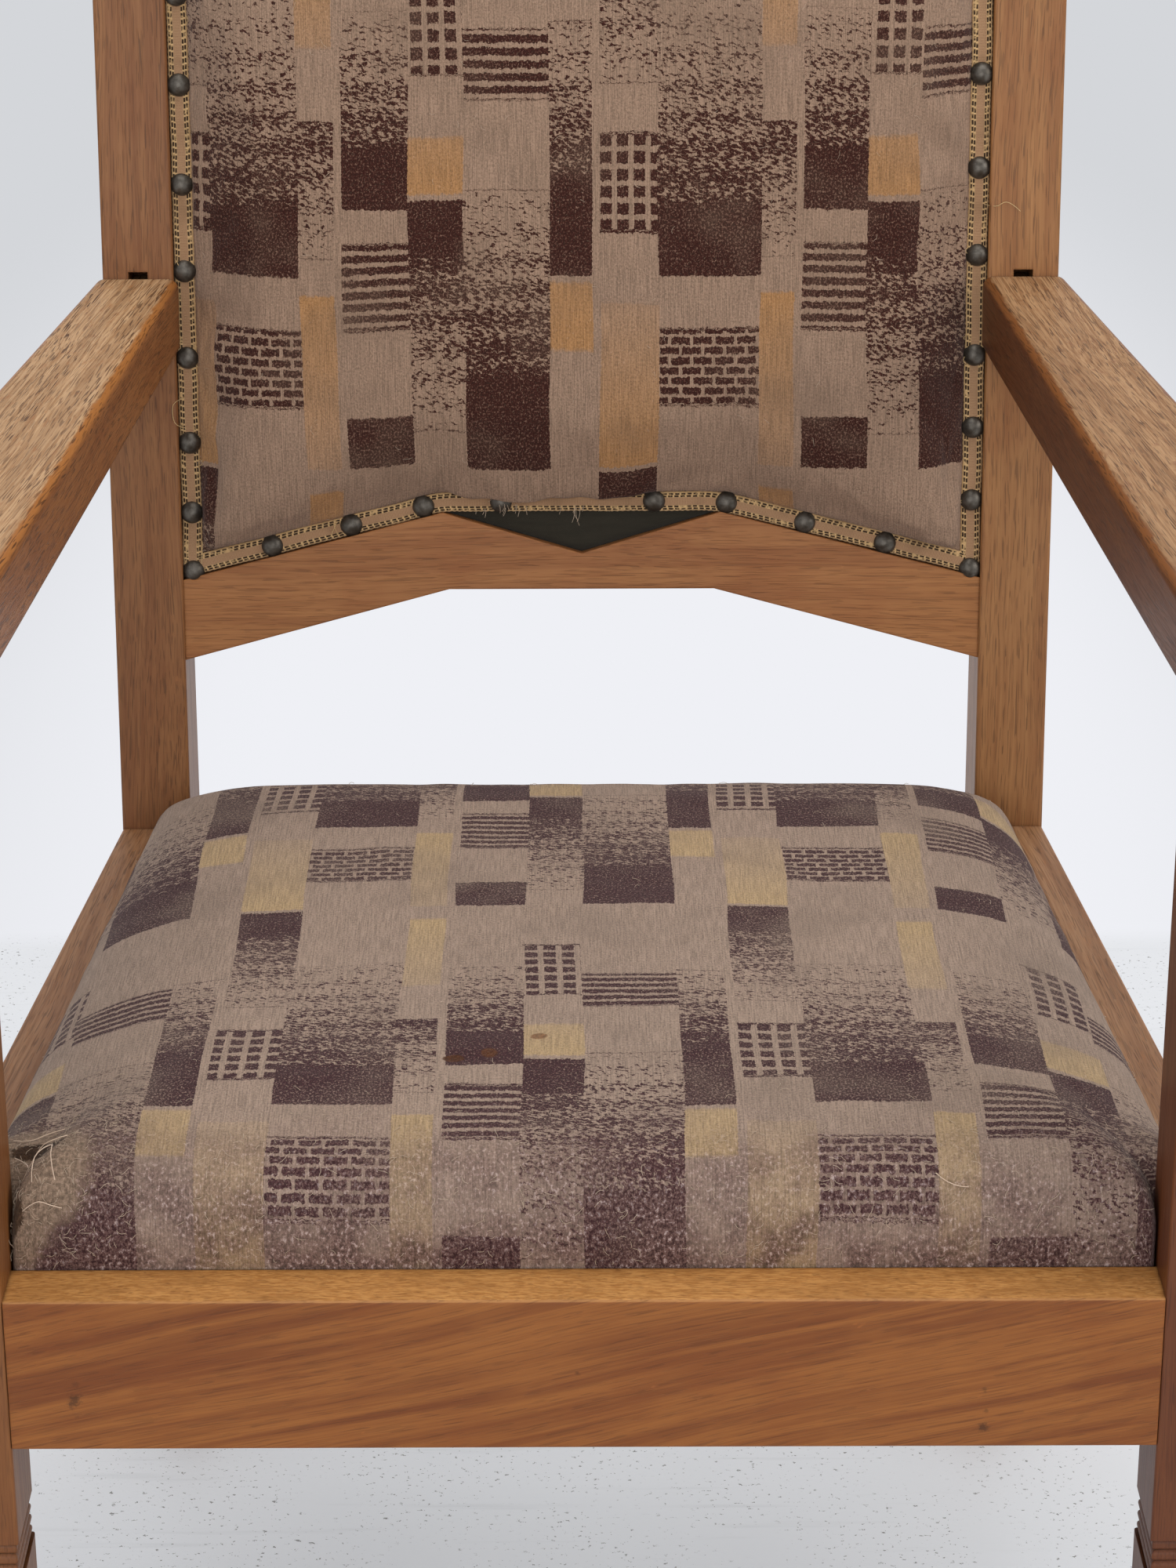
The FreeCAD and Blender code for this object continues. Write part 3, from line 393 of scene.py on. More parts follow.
def column_stops(blocks):
    """Ramp stops of one column; the gaps between its blocks show the ground."""
    stops, place = [], 0.0
    for start, end, plum_low, plum_high, ochre_low, ochre_high, figure in blocks:
        if start > place + 0.004:
            stops += [(place, (0, 0, 0)), (start - 0.002, (0, 0, 0))]
        stops += [(start, (plum_low, ochre_low, figure / 4)),
                  (end - 0.002, (plum_high, ochre_high, figure / 4))]
        place = end
    stops += [(place, (0, 0, 0)), (1.0, (0, 0, 0))]
    return stops


def pile_fabric(name, ground, plum, ochre, worn_front=0.0, shift=(0.0, 0.0), wear=0.3):
    """Cut pile in a generic design of blocks, fades, dots and ribs, drawn on the UV map."""
    g = Graph(name)
    uv = g.add("ShaderNodeUVMap", uv_map="flat").outputs[0]
    ragged = g.add("ShaderNodeTexNoise", {"Vector": uv, "Scale": 640.0, "Detail": 1.0})
    ragged = g.vector("SUBTRACT", ragged.outputs["Color"], (0.5, 0.5, 0.5))
    slow = g.add("ShaderNodeTexNoise", {"Vector": uv, "Scale": 8.0, "Detail": 1.0})
    slow = g.vector("SUBTRACT", slow.outputs["Color"], (0.5, 0.5, 0.5))
    place = g.vector("ADD", uv, g.vector("MULTIPLY", ragged, (0.0013, 0.0030, 0.0)))
    place = g.vector("ADD", place, g.vector("MULTIPLY", slow, (0.007, 0.009, 0.0)))
    place = g.vector("ADD", place, (shift[0] + 10 * repeat_width, shift[1] + 10 * repeat_height,
                                    0.0))
    across, up = g.parts(place)[:2]
    turn = g.math("FRACT", g.math("DIVIDE", across, repeat_width))
    row = g.math("FRACT", g.math("DIVIDE", up, repeat_height))
    tones, edge = None, 0.0
    for width, blocks in design:
        column = g.ramp(row, column_stops(blocks)) if blocks else (0.0, 0.0, 0.0)
        if tones is None:
            tones = column
        else:
            tones = g.mix(g.math("GREATER_THAN", turn, edge / repeat_width), tones, column)
        edge += width
    inks = g.add("ShaderNodeSeparateColor", {0: tones}).outputs
    figure = g.math("MULTIPLY", inks[2], 4.0)

    # Slanting stitches, denser where there is more ink
    slant = g.add("ShaderNodeMapping", {"Vector": g.stretch(place, 470.0, 900.0, 1.0),
                                        "Rotation": (0, 0, 0.55)}).outputs[0]
    stitch = g.noise(g.stretch(slant, 0.55, 1.0, 1.0), 1.0, 1.0, 0.4)
    rows = g.math("PINGPONG", g.math("MULTIPLY", up, 1.0 / 0.0075), 1.0)
    stitch = g.math("ADD", stitch, g.math("MULTIPLY", g.math("SUBTRACT", rows, 0.5), 0.10))
    limit = g.math("MULTIPLY_ADD", inks[0], 0.30, 0.33)
    dither = g.step(g.math("SUBTRACT", limit, stitch), -0.02, 0.03)

    # Small figures: squares, bricks and ribs
    cell = 0.0088
    column_cell = g.math("PINGPONG", across, cell / 2)
    row_cell = g.math("PINGPONG", up, cell / 2)
    dots = g.math("MULTIPLY", g.math("GREATER_THAN", column_cell, cell * 0.16),
                  g.math("GREATER_THAN", row_cell, cell * 0.16))
    course = g.math("FLOOR", g.math("DIVIDE", up, cell * 0.62))
    offset = g.math("MULTIPLY", g.math("MODULO", course, 2.0), cell * 0.65)
    joint = g.math("PINGPONG", g.math("ADD", across, offset), cell * 0.65)
    bed = g.math("FRACT", g.math("DIVIDE", up, cell * 0.62))
    bricks = g.math("MULTIPLY", g.math("GREATER_THAN", joint, cell * 0.10),
                    g.math("GREATER_THAN", bed, 0.30))
    ribs = g.math("GREATER_THAN", g.math("PINGPONG", up, 0.0031), 0.0012)

    shape = None
    for number, mask in ((speckled, dither), (dotted, dots), (bricked, bricks), (ribbed, ribs)):
        chosen = g.math("COMPARE", figure, float(number), 0.3)
        kept = g.math("SUBTRACT", 1.0, g.math("MULTIPLY", chosen, g.math("SUBTRACT", 1.0, mask)))
        shape = kept if shape is None else g.math("MULTIPLY", shape, kept)
    inked = g.step(inks[0], 0.03, 0.08)
    plum_ink = g.math("MULTIPLY", inked, shape)

    # Pile: warp lines, tufts, lighter tips and slow soiling
    line = g.math("DIVIDE", g.math("PINGPONG", g.parts(uv)[0], 0.00055), 0.00055)
    warp = g.noise(g.stretch(uv, 1250.0, 55.0, 1.0), 1.0, 2.0, 0.6)
    warp = g.math("MULTIPLY_ADD", g.math("SUBTRACT", line, 0.5), 0.08, warp)
    tuft = g.noise(g.stretch(uv, 1000.0, 760.0, 1.0), 1.0, 2.0, 0.7)
    grain = g.math("MULTIPLY_ADD", warp, 0.55, g.math("MULTIPLY", tuft, 0.45))
    soil = g.noise(uv, 13.0, 3.0, 0.6)
    body = g.mix(g.step(grain, 0.34, 0.66), times(ground, 0.72), times(ground, 1.26))
    gold = g.mix(g.step(grain, 0.34, 0.66), times(ochre, 0.74), times(ochre, 1.22))
    colour = g.mix(inks[1], body, gold)
    wine = g.mix(g.step(tuft, 0.35, 0.66), times(plum, 0.55), times(plum, 1.55))
    strength = g.math("SUBTRACT", 1.0, g.math("MULTIPLY", g.step(
        g.math("ADD", tuft, g.math("MULTIPLY", soil, 0.55)), 0.78, 0.98), wear))
    colour = g.mix(g.math("MULTIPLY", plum_ink, strength), colour, wine)
    colour = g.mix(g.math("MULTIPLY", g.step(tuft, 0.54, 0.76), wear * 0.75), colour,
                   times(ground, 1.55))
    colour = g.mix(g.math("MULTIPLY", g.step(tuft, 0.44, 0.28), 0.35), colour,
                   times(ground, 0.40))
    tips = g.noise(g.stretch(slant, 2.3, 1.3, 1.0), 1.0, 1.0, 0.5)
    colour = g.mix(g.math("MULTIPLY", g.step(tips, 0.64, 0.74), 0.15 + 0.75 * wear), colour,
                   times(ground, 1.9))
    colour = g.mix(g.math("MULTIPLY", g.step(soil, 0.48, 0.72), 0.32), colour,
                   times(ground, 0.52))
    if worn_front:
        colour = worn_pile(g, uv, colour, ground, worn_front)
    height = g.math("ADD", g.math("MULTIPLY", tuft, 0.9), g.math("MULTIPLY", warp, 0.6))
    normal = g.bump(height, 0.0010, 0.80)
    return g.finish(colour, 0.96, normal, Sheen_Weight=0.12, Sheen_Roughness=0.45,
                    Sheen_Tint=(0.9, 0.84, 0.80, 1.0), Specular_IOR_Level=0.12)


def worn_pile(g, uv, colour, ground, amount):
    """Roughed pile along the seat's front, the bald left corner and a few small holes."""
    depth = g.parts(uv)[1]
    patchy = g.noise(uv, 30.0, 4.0, 0.65)
    near = g.step(g.math("ADD", depth, g.math("MULTIPLY", patchy, 0.10)),
                  front_face + 0.150, front_face + 0.030)
    curl = g.noise(g.stretch(uv, 560.0, 420.0, 1.0), 1.0, 4.0, 0.75)
    fuzz = g.mix(g.step(curl, 0.43, 0.52), linear(56, 34, 35), linear(114, 86, 81))
    fuzz = g.mix(g.step(curl, 0.55, 0.63), fuzz, linear(194, 173, 168))
    part = g.step(g.noise(uv, 42.0, 3.0, 0.6), 0.34, 0.60)
    cover = g.math("MULTIPLY", g.math("MULTIPLY", near, amount),
                   g.math("MULTIPLY_ADD", part, 0.6, 0.4))
    colour = g.mix(cover, colour, fuzz)
    for x, y, wide, deep, tone, share in worn_places:
        offset = g.vector("SUBTRACT", uv, (x, y, 0.0))
        scaled = g.stretch(offset, 1.0 / wide, 1.0 / deep, 0.0)
        reach = g.add("ShaderNodeVectorMath", {0: scaled}, operation="LENGTH").outputs["Value"]
        ragged = g.math("MULTIPLY_ADD", g.math("SUBTRACT", patchy, 0.5), 1.1, reach)
        ragged = g.math("MULTIPLY_ADD", g.math("SUBTRACT", curl, 0.5), 0.5, ragged)
        patch = g.mix(g.step(curl, 0.36, 0.66), times(tone, 0.6), times(tone, 1.35))
        colour = g.mix(g.math("MULTIPLY", g.step(ragged, 1.1, 0.8), share), colour, patch)
    return colour


# Worn places on the seat: flat place, half width and half depth, colour and strength
worn_places = (
    (-0.244, -0.252, 0.032, 0.044, linear(146, 124, 104), 0.85),
    (-0.236, -0.234, 0.013, 0.006, linear(58, 38, 24), 0.95),
    (-0.247, -0.274, 0.009, 0.010, linear(66, 44, 28), 0.85),
    (-0.058, -0.170, 0.005, 0.003, linear(84, 50, 28), 0.90),
    (-0.042, -0.166, 0.004, 0.004, linear(96, 58, 32), 0.80),
    (-0.020, -0.150, 0.004, 0.003, linear(120, 74, 44), 0.70),
)


def gimp_braid():
    """Braid with a ribbed band in the middle and two stitched rows along each edge."""
    g = Graph("gimp_braid")
    uv = g.add("ShaderNodeUVMap", uv_map="flat").outputs[0]
    wobble = g.add("ShaderNodeTexNoise", {"Vector": uv, "Scale": 300.0, "Detail": 1.0})
    wobble = g.vector("SUBTRACT", wobble.outputs["Color"], (0.5, 0.5, 0.5))
    place = g.vector("ADD", uv, g.vector("MULTIPLY", wobble, (0.0003, 0.0005, 0.0)))
    across, along = g.parts(place)[:2]
    inward = g.math("PINGPONG", across, gimp_width / 2)
    dashes = None
    for middle, shift in ((0.00120, 0.0), (0.00245, 0.0004)):
        line = g.math("ABSOLUTE", g.math("SUBTRACT", inward, middle))
        row = g.step(line, 0.00058, 0.00036)
        beat = g.math("FRACT", g.math("DIVIDE", g.math("ADD", along, 1.0 + shift), 0.0033))
        gate = g.math("MULTIPLY", g.step(beat, 0.06, 0.16), g.step(beat, 0.86, 0.76))
        mark = g.math("MULTIPLY", row, gate)
        dashes = mark if dashes is None else g.math("MAXIMUM", dashes, mark)
    fade = g.noise(g.stretch(uv, 300.0, 220.0, 1.0), 1.0, 2.0)
    dashes = g.math("MULTIPLY", dashes, g.step(fade, 0.30, 0.46))
    rib = g.math("PINGPONG", along, 0.0004)
    rib = g.math("DIVIDE", rib, 0.0004)
    fluff = g.noise(uv, 1500.0, 2.0, 0.6)
    middle_band = g.step(inward, 0.0028, 0.0033)
    cream = g.mix(fluff, linear(226, 190, 138), linear(186, 148, 100))
    rose = g.mix(g.math("MULTIPLY_ADD", rib, 0.45, g.math("MULTIPLY", fluff, 0.6)),
                 linear(144, 108, 78), linear(188, 150, 114))
    colour = g.mix(middle_band, cream, rose)
    colour = g.mix(g.math("MULTIPLY", dashes, 0.97), colour, linear(40, 22, 14))
    grime = g.noise(uv, 40.0, 3.0, 0.6)
    colour = g.mix(g.math("MULTIPLY", g.step(grime, 0.48, 0.72), 0.30), colour,
                   linear(96, 72, 50))
    height = g.math("SUBTRACT", g.math("MULTIPLY_ADD", rib, 0.3, fluff), dashes)
    return g.finish(colour, 0.9, g.bump(height, 0.0004, 0.7), Sheen_Weight=0.2,
                    Specular_IOR_Level=0.2)


# Meshes

def make_object(name, points, faces, smooth=True, flats=None):
    mesh = bpy.data.meshes.new(name)
    mesh.from_pydata([tuple(p) for p in points], [], faces)
    mesh.update()
    if smooth:
        mesh.polygons.foreach_set("use_smooth", [True] * len(mesh.polygons))
    if flats:
        layer = mesh.uv_layers.new(name="flat")
        for loop in mesh.loops:
            layer.data[loop.index].uv = flats[loop.vertex_index]
    thing = bpy.data.objects.new(name, mesh)
    bpy.context.scene.collection.objects.link(thing)
    return thing


def dress(thing, material, body, slot, *replaced):
    thing.data.materials.clear()
    thing.data.materials.append(material)
    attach(thing, body)
    if replaced:
        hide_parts(*replaced)


def soften(thing, levels=1):
    modifier = thing.modifiers.new("soften", "SUBSURF")
    modifier.levels = levels
    modifier.render_levels = levels


def inset_outline(points, inset):
    """Move each side of a counter-clockwise outline inwards."""
    moved = []
    count = len(points)
    for index in range(count):
        corners = (points[index - 1], points[index], points[(index + 1) % count])
        lines = []
        for start, end in zip(corners, corners[1:]):
            dx, dy = end[0] - start[0], end[1] - start[1]
            size = math.hypot(dx, dy)
            lines.append((start[0] - dy / size * inset, start[1] + dx / size * inset, dx, dy))
        (ax, ay, adx, ady), (bx, by, bdx, bdy) = lines
        cross = adx * bdy - ady * bdx
        if abs(cross) < 1e-4 * math.hypot(adx, ady) * math.hypot(bdx, bdy):
            moved.append((bx, by))
            continue
        share = ((bx - ax) * bdy - (by - ay) * bdx) / cross
        moved.append((ax + adx * share, ay + ady * share))
    return moved


corner_steps = 6


def soft_ring(points, radii, counts):
    """Points round an outline with rounded corners, the same number in every ring; it starts
    in the middle of the first corner."""
    size = len(points)
    arcs = []
    for index in range(size):
        here = Vector(points[index])
        before = Vector(points[index - 1]) - here
        after = Vector(points[(index + 1) % size]) - here
        half = before.angle(after) / 2
        cut = min(radii[index] / math.tan(min(half, 1.5)), 0.48 * before.length,
                  0.48 * after.length)
        arcs.append((here + before.normalized() * cut, here, here + after.normalized() * cut))
    ring = []
    for index in range(size):
        start, corner, end = arcs[index]
        for step in range(corner_steps + 1):
            share = step / corner_steps
            first, second = start.lerp(corner, share), corner.lerp(end, share)
            ring.append(first.lerp(second, share))
        following = arcs[(index + 1) % size][0]
        for step in range(1, counts[index]):
            ring.append(end.lerp(following, step / counts[index]))
    half = corner_steps // 2
    return ring[half:] + ring[:half]


def section(points, steps):
    """Smooth curve of (inset, height) pairs through the given ones."""
    curve = []
    for index in range(len(points) - 1):
        before = points[max(index - 1, 0)]
        start, end = points[index], points[index + 1]
        after = points[min(index + 2, len(points) - 1)]
        for step in range(steps[index]):
            t = step / steps[index]
            pair = []
            for a, b, c, d in zip(before, start, end, after):
                pair.append(b + 0.5 * t * (c - a + t * (2 * a - 5 * b + 4 * c - d
                                                       + t * (3 * (b - c) + d - a))))
            curve.append(tuple(pair))
    curve.append(tuple(points[-1]))
    return curve


def outward(plan):
    """Outward direction at each point of a counter-clockwise ring."""
    count = len(plan)
    result = []
    for index in range(count):
        run = plan[(index + 1) % count] - plan[index - 1]
        result.append(Vector((run.y, -run.x)).normalized())
    return result


def cushion(name, curve, plan_of, place_of, sides, dome):
    """Closed-over pad: rings that follow the section inwards, then a grid across the middle.

    plan_of gives the ring of plan points at an inset, place_of the place in space of a plan
    point at a height, sides the segments along the first and second side, and dome how far
    the middle rises over the last ring."""
    plans = [plan_of(inset) for inset, height in curve]
    count = len(plans[0])
    extra, extras = 0.0, [0.0] * len(curve)
    for level in range(len(curve) - 2, -1, -1):
        inset, height = curve[level]
        next_inset, next_height = curve[level + 1]
        run = math.hypot(next_inset - inset, next_height - height)
        extra += run - max(0.0, next_inset - inset)
        extras[level] = extra
    points, flats = [], []
    for level, (inset, height) in enumerate(curve):
        directions = outward(plans[level])
        for plan, direction in zip(plans[level], directions):
            points.append(place_of(plan, height, inset))
            flats.append(tuple(plan + direction * extras[level]))
    faces = []
    for level in range(len(curve) - 1):
        for index in range(count):
            after = (index + 1) % count
            faces.append((level * count + index, level * count + after,
                          (level + 1) * count + after, (level + 1) * count + index))
    first = (len(curve) - 1) * count
    wide, high = sides
    plan = plans[-1]
    rim = {}
    for i in range(wide + 1):
        rim[i, 0] = i
        rim[i, high] = (2 * wide + high - i) % count
    for j in range(high + 1):
        rim[wide, j] = wide + j
        rim[0, j] = (count - j) % count
    grid = {}
    for i in range(wide + 1):
        for j in range(high + 1):
            if (i, j) in rim:
                grid[i, j] = first + rim[i, j]
                continue
            s, t = i / wide, j / high
            low, top = plan[rim[i, 0]], plan[rim[i, high]]
            left, right = plan[rim[0, j]], plan[rim[wide, j]]
            a, b = plan[rim[0, 0]], plan[rim[wide, 0]]
            c, d = plan[rim[0, high]], plan[rim[wide, high]]
            here = (low * (1 - t) + top * t + left * (1 - s) + right * s
                    - a * (1 - s) * (1 - t) - b * s * (1 - t) - c * (1 - s) * t - d * s * t)
            rise = dome * (1 - (2 * s - 1) ** 2) * (1 - (2 * t - 1) ** 2)
            grid[i, j] = len(points)
            points.append(place_of(here, curve[-1][1] + rise, curve[-1][0]))
            flats.append(tuple(here))
    for i in range(wide):
        for j in range(high):
            faces.append((grid[i, j], grid[i + 1, j], grid[i + 1, j + 1], grid[i, j + 1]))
    return make_object(name, points, faces, flats=flats), count


def settle(thing, held, pressure, slack, cap, frames=20):
    """Cloth simulation from the mesh's own shape; what it gives becomes the mesh."""
    group = thing.vertex_groups.new(name="held")
    group.add(held, 1.0, "REPLACE")
    cloth = thing.modifiers.new("cloth", "CLOTH")
    settings = cloth.settings
    settings.quality = 5
    settings.mass = 0.2
    settings.tension_stiffness = 14
    settings.compression_stiffness = 14
    settings.shear_stiffness = 6
    settings.bending_stiffness = 0.6
    settings.use_pressure = True
    settings.uniform_pressure_force = pressure
    settings.vertex_group_mass = "held"
    settings.shrink_min = -slack
    settings.effector_weights.gravity = 0
    cloth.collision_settings.use_collision = False
    cloth.point_cache.frame_start = 1
    cloth.point_cache.frame_end = frames
    scene = bpy.context.scene
    for number in range(1, frames + 1):
        scene.frame_set(number)
    result = thing.evaluated_get(bpy.context.evaluated_depsgraph_get())
    moved = [vertex.co.copy() for vertex in result.data.vertices]
    thing.modifiers.remove(cloth)
    thing.vertex_groups.clear()
    for vertex, place in zip(thing.data.vertices, moved):
        shift = place - vertex.co
        vertex.co += shift * min(1.0, cap / max(shift.length, 1e-9))
    scene.frame_set(1)


# Seat cushion

gentle_side = section(((0.0008, 0.0), (0.0025, 0.0050), (0.0065, 0.0130), (0.0120, 0.0218),
                       (0.0200, 0.0302), (0.0320, 0.0386), (0.0480, 0.0446), (0.0750, 0.0490)),
                      (3, 4, 5, 6, 8, 8, 8))
seat_middle = front_face + (0.0272 + seat_depth) / 2
seat_lean = math.tan(math.radians(1.3))
cover_inset = 0.0008
seat_rise = 0.0502

# The stepped outline at the front legs eases to a plain one over these insets
ease_start = 0.010
ease_width = 0.030


def side_edge(y):
    """Half width between the side rails at depth y."""
    return leg_outer - (y - leg_back) * math.tan(splay) - side_ledge


def seat_plan(inset):
    right = [(leg_inner, front_ledge), (leg_inner, leg_back), (side_edge(leg_back), leg_back),
             (side_edge(posts_face), posts_face)]
    stepped = inset_outline(right + [(-x, y) for x, y in reversed(right)], inset)
    edge = leg_inner + 0.010
    back_edge = side_edge(posts_face)
    front, back = [Vector(corner) for corner in inset_outline(
        ((edge, front_ledge), (back_edge, posts_face), (-back_edge, posts_face),
         (-edge, front_ledge)), inset)[:2]]
    smooth = [front.lerp(back, share) for share in (0.0, 0.07, 0.15, 1.0)]
    eased = smooth + [Vector((-x, y)) for x, y in reversed(smooth)]
    share = smooth_step((inset - ease_start) / ease_width)
    corners = [Vector(a).lerp(b, share) for a, b in zip(stepped, eased)]
    outer = min(0.003 + inset * 1.30, 0.070)
    notch = min(0.0015 + inset * 0.5, 0.045)
    radii = [notch, notch, notch, outer, outer, notch, notch, notch]
    side = [4, 5, seat_counts[1] - 9 - 3 * corner_steps]
    counts = side + [seat_counts[0] - corner_steps] + side[::-1] + [seat_counts[0] - corner_steps]
    return soft_ring(corners, radii, counts)


seat_counts = (70, 76)


def eased_rise(inset):
    """Rise of the seat's free sides and back, gentler than where it stands against the legs."""
    for (start, low), (end, high) in zip(gentle_side, gentle_side[1:]):
        if inset <= end:
            return low + (high - low) * (inset - start) / (end - start)
    return gentle_side[-1][1]


def seat_place(plan, height, inset):
    if height > 0:
        free = smooth_step((plan.y - leg_back + 0.012) / 0.080)
        gentle = eased_rise(inset) + max(0.0, height - seat_rise)
        height += (gentle - height) * free
    weight = max(0.0, min(1.0, height / 0.04))
    lean = max(0.0, seat_middle - plan.y) * seat_lean * weight
    return Vector((plan.x, plan.y, rail_top + height + lean))


def make_seat():
    curve = section(((0.0245, -0.0256), (0.0040, -0.0258), (0.0012, -0.0240),
                     (cover_inset, -0.0180), (cover_inset, -0.0010), (0.0011, 0.0170),
                     (0.0042, 0.0300), (0.0115, 0.0390), (0.0245, 0.0452), (0.0450, 0.0486),
                     (0.0750, seat_rise)), (4, 2, 2, 3, 5, 5, 5, 4, 4, 4))
    wide, high = seat_counts[1], seat_counts[0]
    thing, count = cushion("seat_cushion", curve, seat_plan, seat_place, (wide, high), 0.004)
    held = range(17 * count)
    settle(thing, list(held), 2.5, 0.012, 0.005)
    ruffle(thing, 0.0007, 55.0, lambda co: co.z > rail_top + 0.004)
    soften(thing)
    return thing


def ruffle(thing, depth, scale, chosen):
    """Small unevenness along the normals."""
    mesh = thing.data
    normals = [vertex.normal.copy() for vertex in mesh.vertices]
    for vertex, normal in zip(mesh.vertices, normals):
        if chosen(vertex.co):
            value = noise.noise(vertex.co * scale) + 0.5 * noise.noise(vertex.co * scale * 2.3)
            vertex.co += normal * value * depth


# Back pad

def pad_outline(inset):
    points = [(-post_inner, lip_end), (-lip_peak_half, lip_peak), (lip_peak_half, lip_peak),
              (post_inner, lip_end), (post_inner, pad_top), (-post_inner, pad_top)]
    return inset_outline(points, inset)


pad_counts = (84, 72)
droop_places = (-0.078, -0.052, 0.004, 0.042)


def pad_plan(inset):
    corner = min(0.002 + inset * 0.42, 0.035)
    radii = [corner, 2 * corner, 2 * corner, corner, corner, corner]
    middle = pad_counts[0] - 2 * 24 - 3 * corner_steps
    bottom = [24, middle, 24]
    side = pad_counts[1] - corner_steps
    counts = bottom + [side, pad_counts[0] - corner_steps, side]
    return soft_ring(pad_outline(gimp_gap + inset), radii, counts)


def pad_place(plan, height, inset):
    return on_back(plan.x, cover_base - height, plan.y)


def make_back():
    curve = section(((0.0002, 0.0), (0.0060, 0.0), (0.0104, 0.0002), (0.0112, 0.0030),
                     (0.0125, 0.0080), (0.0160, 0.0125), (0.0230, 0.0165), (0.0350, 0.0198),
                     (0.0520, 0.0220), (0.0780, 0.0234)), (1, 2, 2, 3, 4, 4, 4, 4, 4))
    thing, count = cushion("back_pad", curve, pad_plan, pad_place, pad_counts, 0.002)
    settle(thing, list(range(6 * count)), 2.0, 0.012, 0.006)
    droop(thing)
    ruffle(thing, 0.0006, 60.0, lambda co: co.y < posts_face + 0.2)
    soften(thing)
    return thing


def drooping(x):
    """How far the loose cover hangs at a place across the back, from 0 to 1."""
    start, full, ebb, end = droop_places
    if x <= start or x >= end:
        return 0.0
    return smooth_step(min((x - start) / (full - start), (end - x) / 0.008,
                           0.35 + 0.65 * (end - x) / (end - ebb)))


def droop(thing):
    """Loose cover hanging over the braid in the middle of the lower edge."""
    edge = lip_peak + gimp_width
    for vertex in thing.data.vertices:
        up, depth = off_back(vertex.co)
        across = drooping(vertex.co.x)
        if not across or not edge - 0.004 < up < edge + 0.05 or depth > 0.0045:
            continue
        front = max(0.0, min(1.0, (0.0042 - depth) / 0.006))
        fall = max(0.0, 1 - (up - edge) / 0.045) ** 1.4
        wave = 1 + 0.12 * noise.noise(Vector((vertex.co.x * 120, 0.3, 0.1)))
        vertex.co += (on_back(0, -0.0026 * front, -0.0105 * front * wave)
                      - on_back(0, 0, 0)) * across * fall


# Trimmings of the back

def resample(path, pitch):
    """Points a set distance apart along a path that is given by its corners."""
    result, carried = [], 0.0
    for start, end in zip(path, path[1:]):
        start, end = Vector(start), Vector(end)
        length = (end - start).length
        while carried < length:
            result.append(start.lerp(end, carried / length))
            carried += pitch
        carried -= length
    result.append(Vector(path[-1]))
    return result


def make_gimp(name, path, material, seed, lift=0.0):
    """Braid along a path on the back, with cords, grooves and small waves."""
    places = resample(path, 0.0007)
    steps = 16
    points, flats, faces = [], [], []
    run = 0.0
    stride = steps + 3
    for index, place in enumerate(places):
        before = places[max(index - 6, 0)]
        after = places[min(index + 6, len(places) - 1)]
        along = (after - before).normalized()
        across = Vector((-along.y, along.x))
        if index:
            run += (place - places[index - 1]).length
        shift = noise.noise(Vector((run * 42, seed, 0.0))) * 0.0006
        swell = noise.noise(Vector((run * 30, seed, 5.0))) * 0.0004
        beat = math.sin(2 * math.pi * run / 0.0029)
        for step in range(steps + 1):
            share = step / steps
            inward = min(share, 1 - share) * gimp_width
            cord = 0.5 + 0.5 * math.cos(2 * math.pi * inward / 0.00125)
            rise = gimp_rise - 0.00035 + (0.0003 * cord if inward < 0.0031 else 0.00022)
            rise += 0.00012 * beat * (inward < 0.0031)
            if step in (0, steps):
                rise *= 0.45
            side = (share - 0.5) * (gimp_width + 0.0003 * beat * (step in (0, steps)))
            spot = place + across * (side + shift)
            points.append(on_back(spot.x, cover_base - rise - lift - abs(swell), spot.y))
            flats.append((share * gimp_width, run))
        for share in (1.0, 0.0):
            spot = place + across * ((share - 0.5) * gimp_width * 0.97 + shift)
            points.append(on_back(spot.x, cover_base + 0.0001, spot.y))
            flats.append((share * gimp_width, run))
    for index in range(len(places) - 1):
        base = index * stride
        for step in range(stride):
            after = (step + 1) % stride
            faces.append((base + step, base + after, base + stride + after, base + stride + step))
    last = (len(places) - 1) * stride
    faces.append(tuple(range(stride - 1, -1, -1)))
    faces.append(tuple(last + step for step in range(stride)))
    thing = make_object(name, points, faces, flats=flats)
    facing(thing)
    dress(thing, material, "chair_frame", "gimp", name.replace("_braid", ""))


def facing(thing):
    """Turn the faces outwards by the sign of the volume that they enclose."""
    mesh = thing.data
    mesh.calc_loop_triangles()
    volume = 0.0
    for triangle in mesh.loop_triangles:
        a, b, c = (mesh.vertices[i].co for i in triangle.vertices)
        volume += a.cross(b).dot(c)
    if volume < 0:
        mesh.flip_normals()


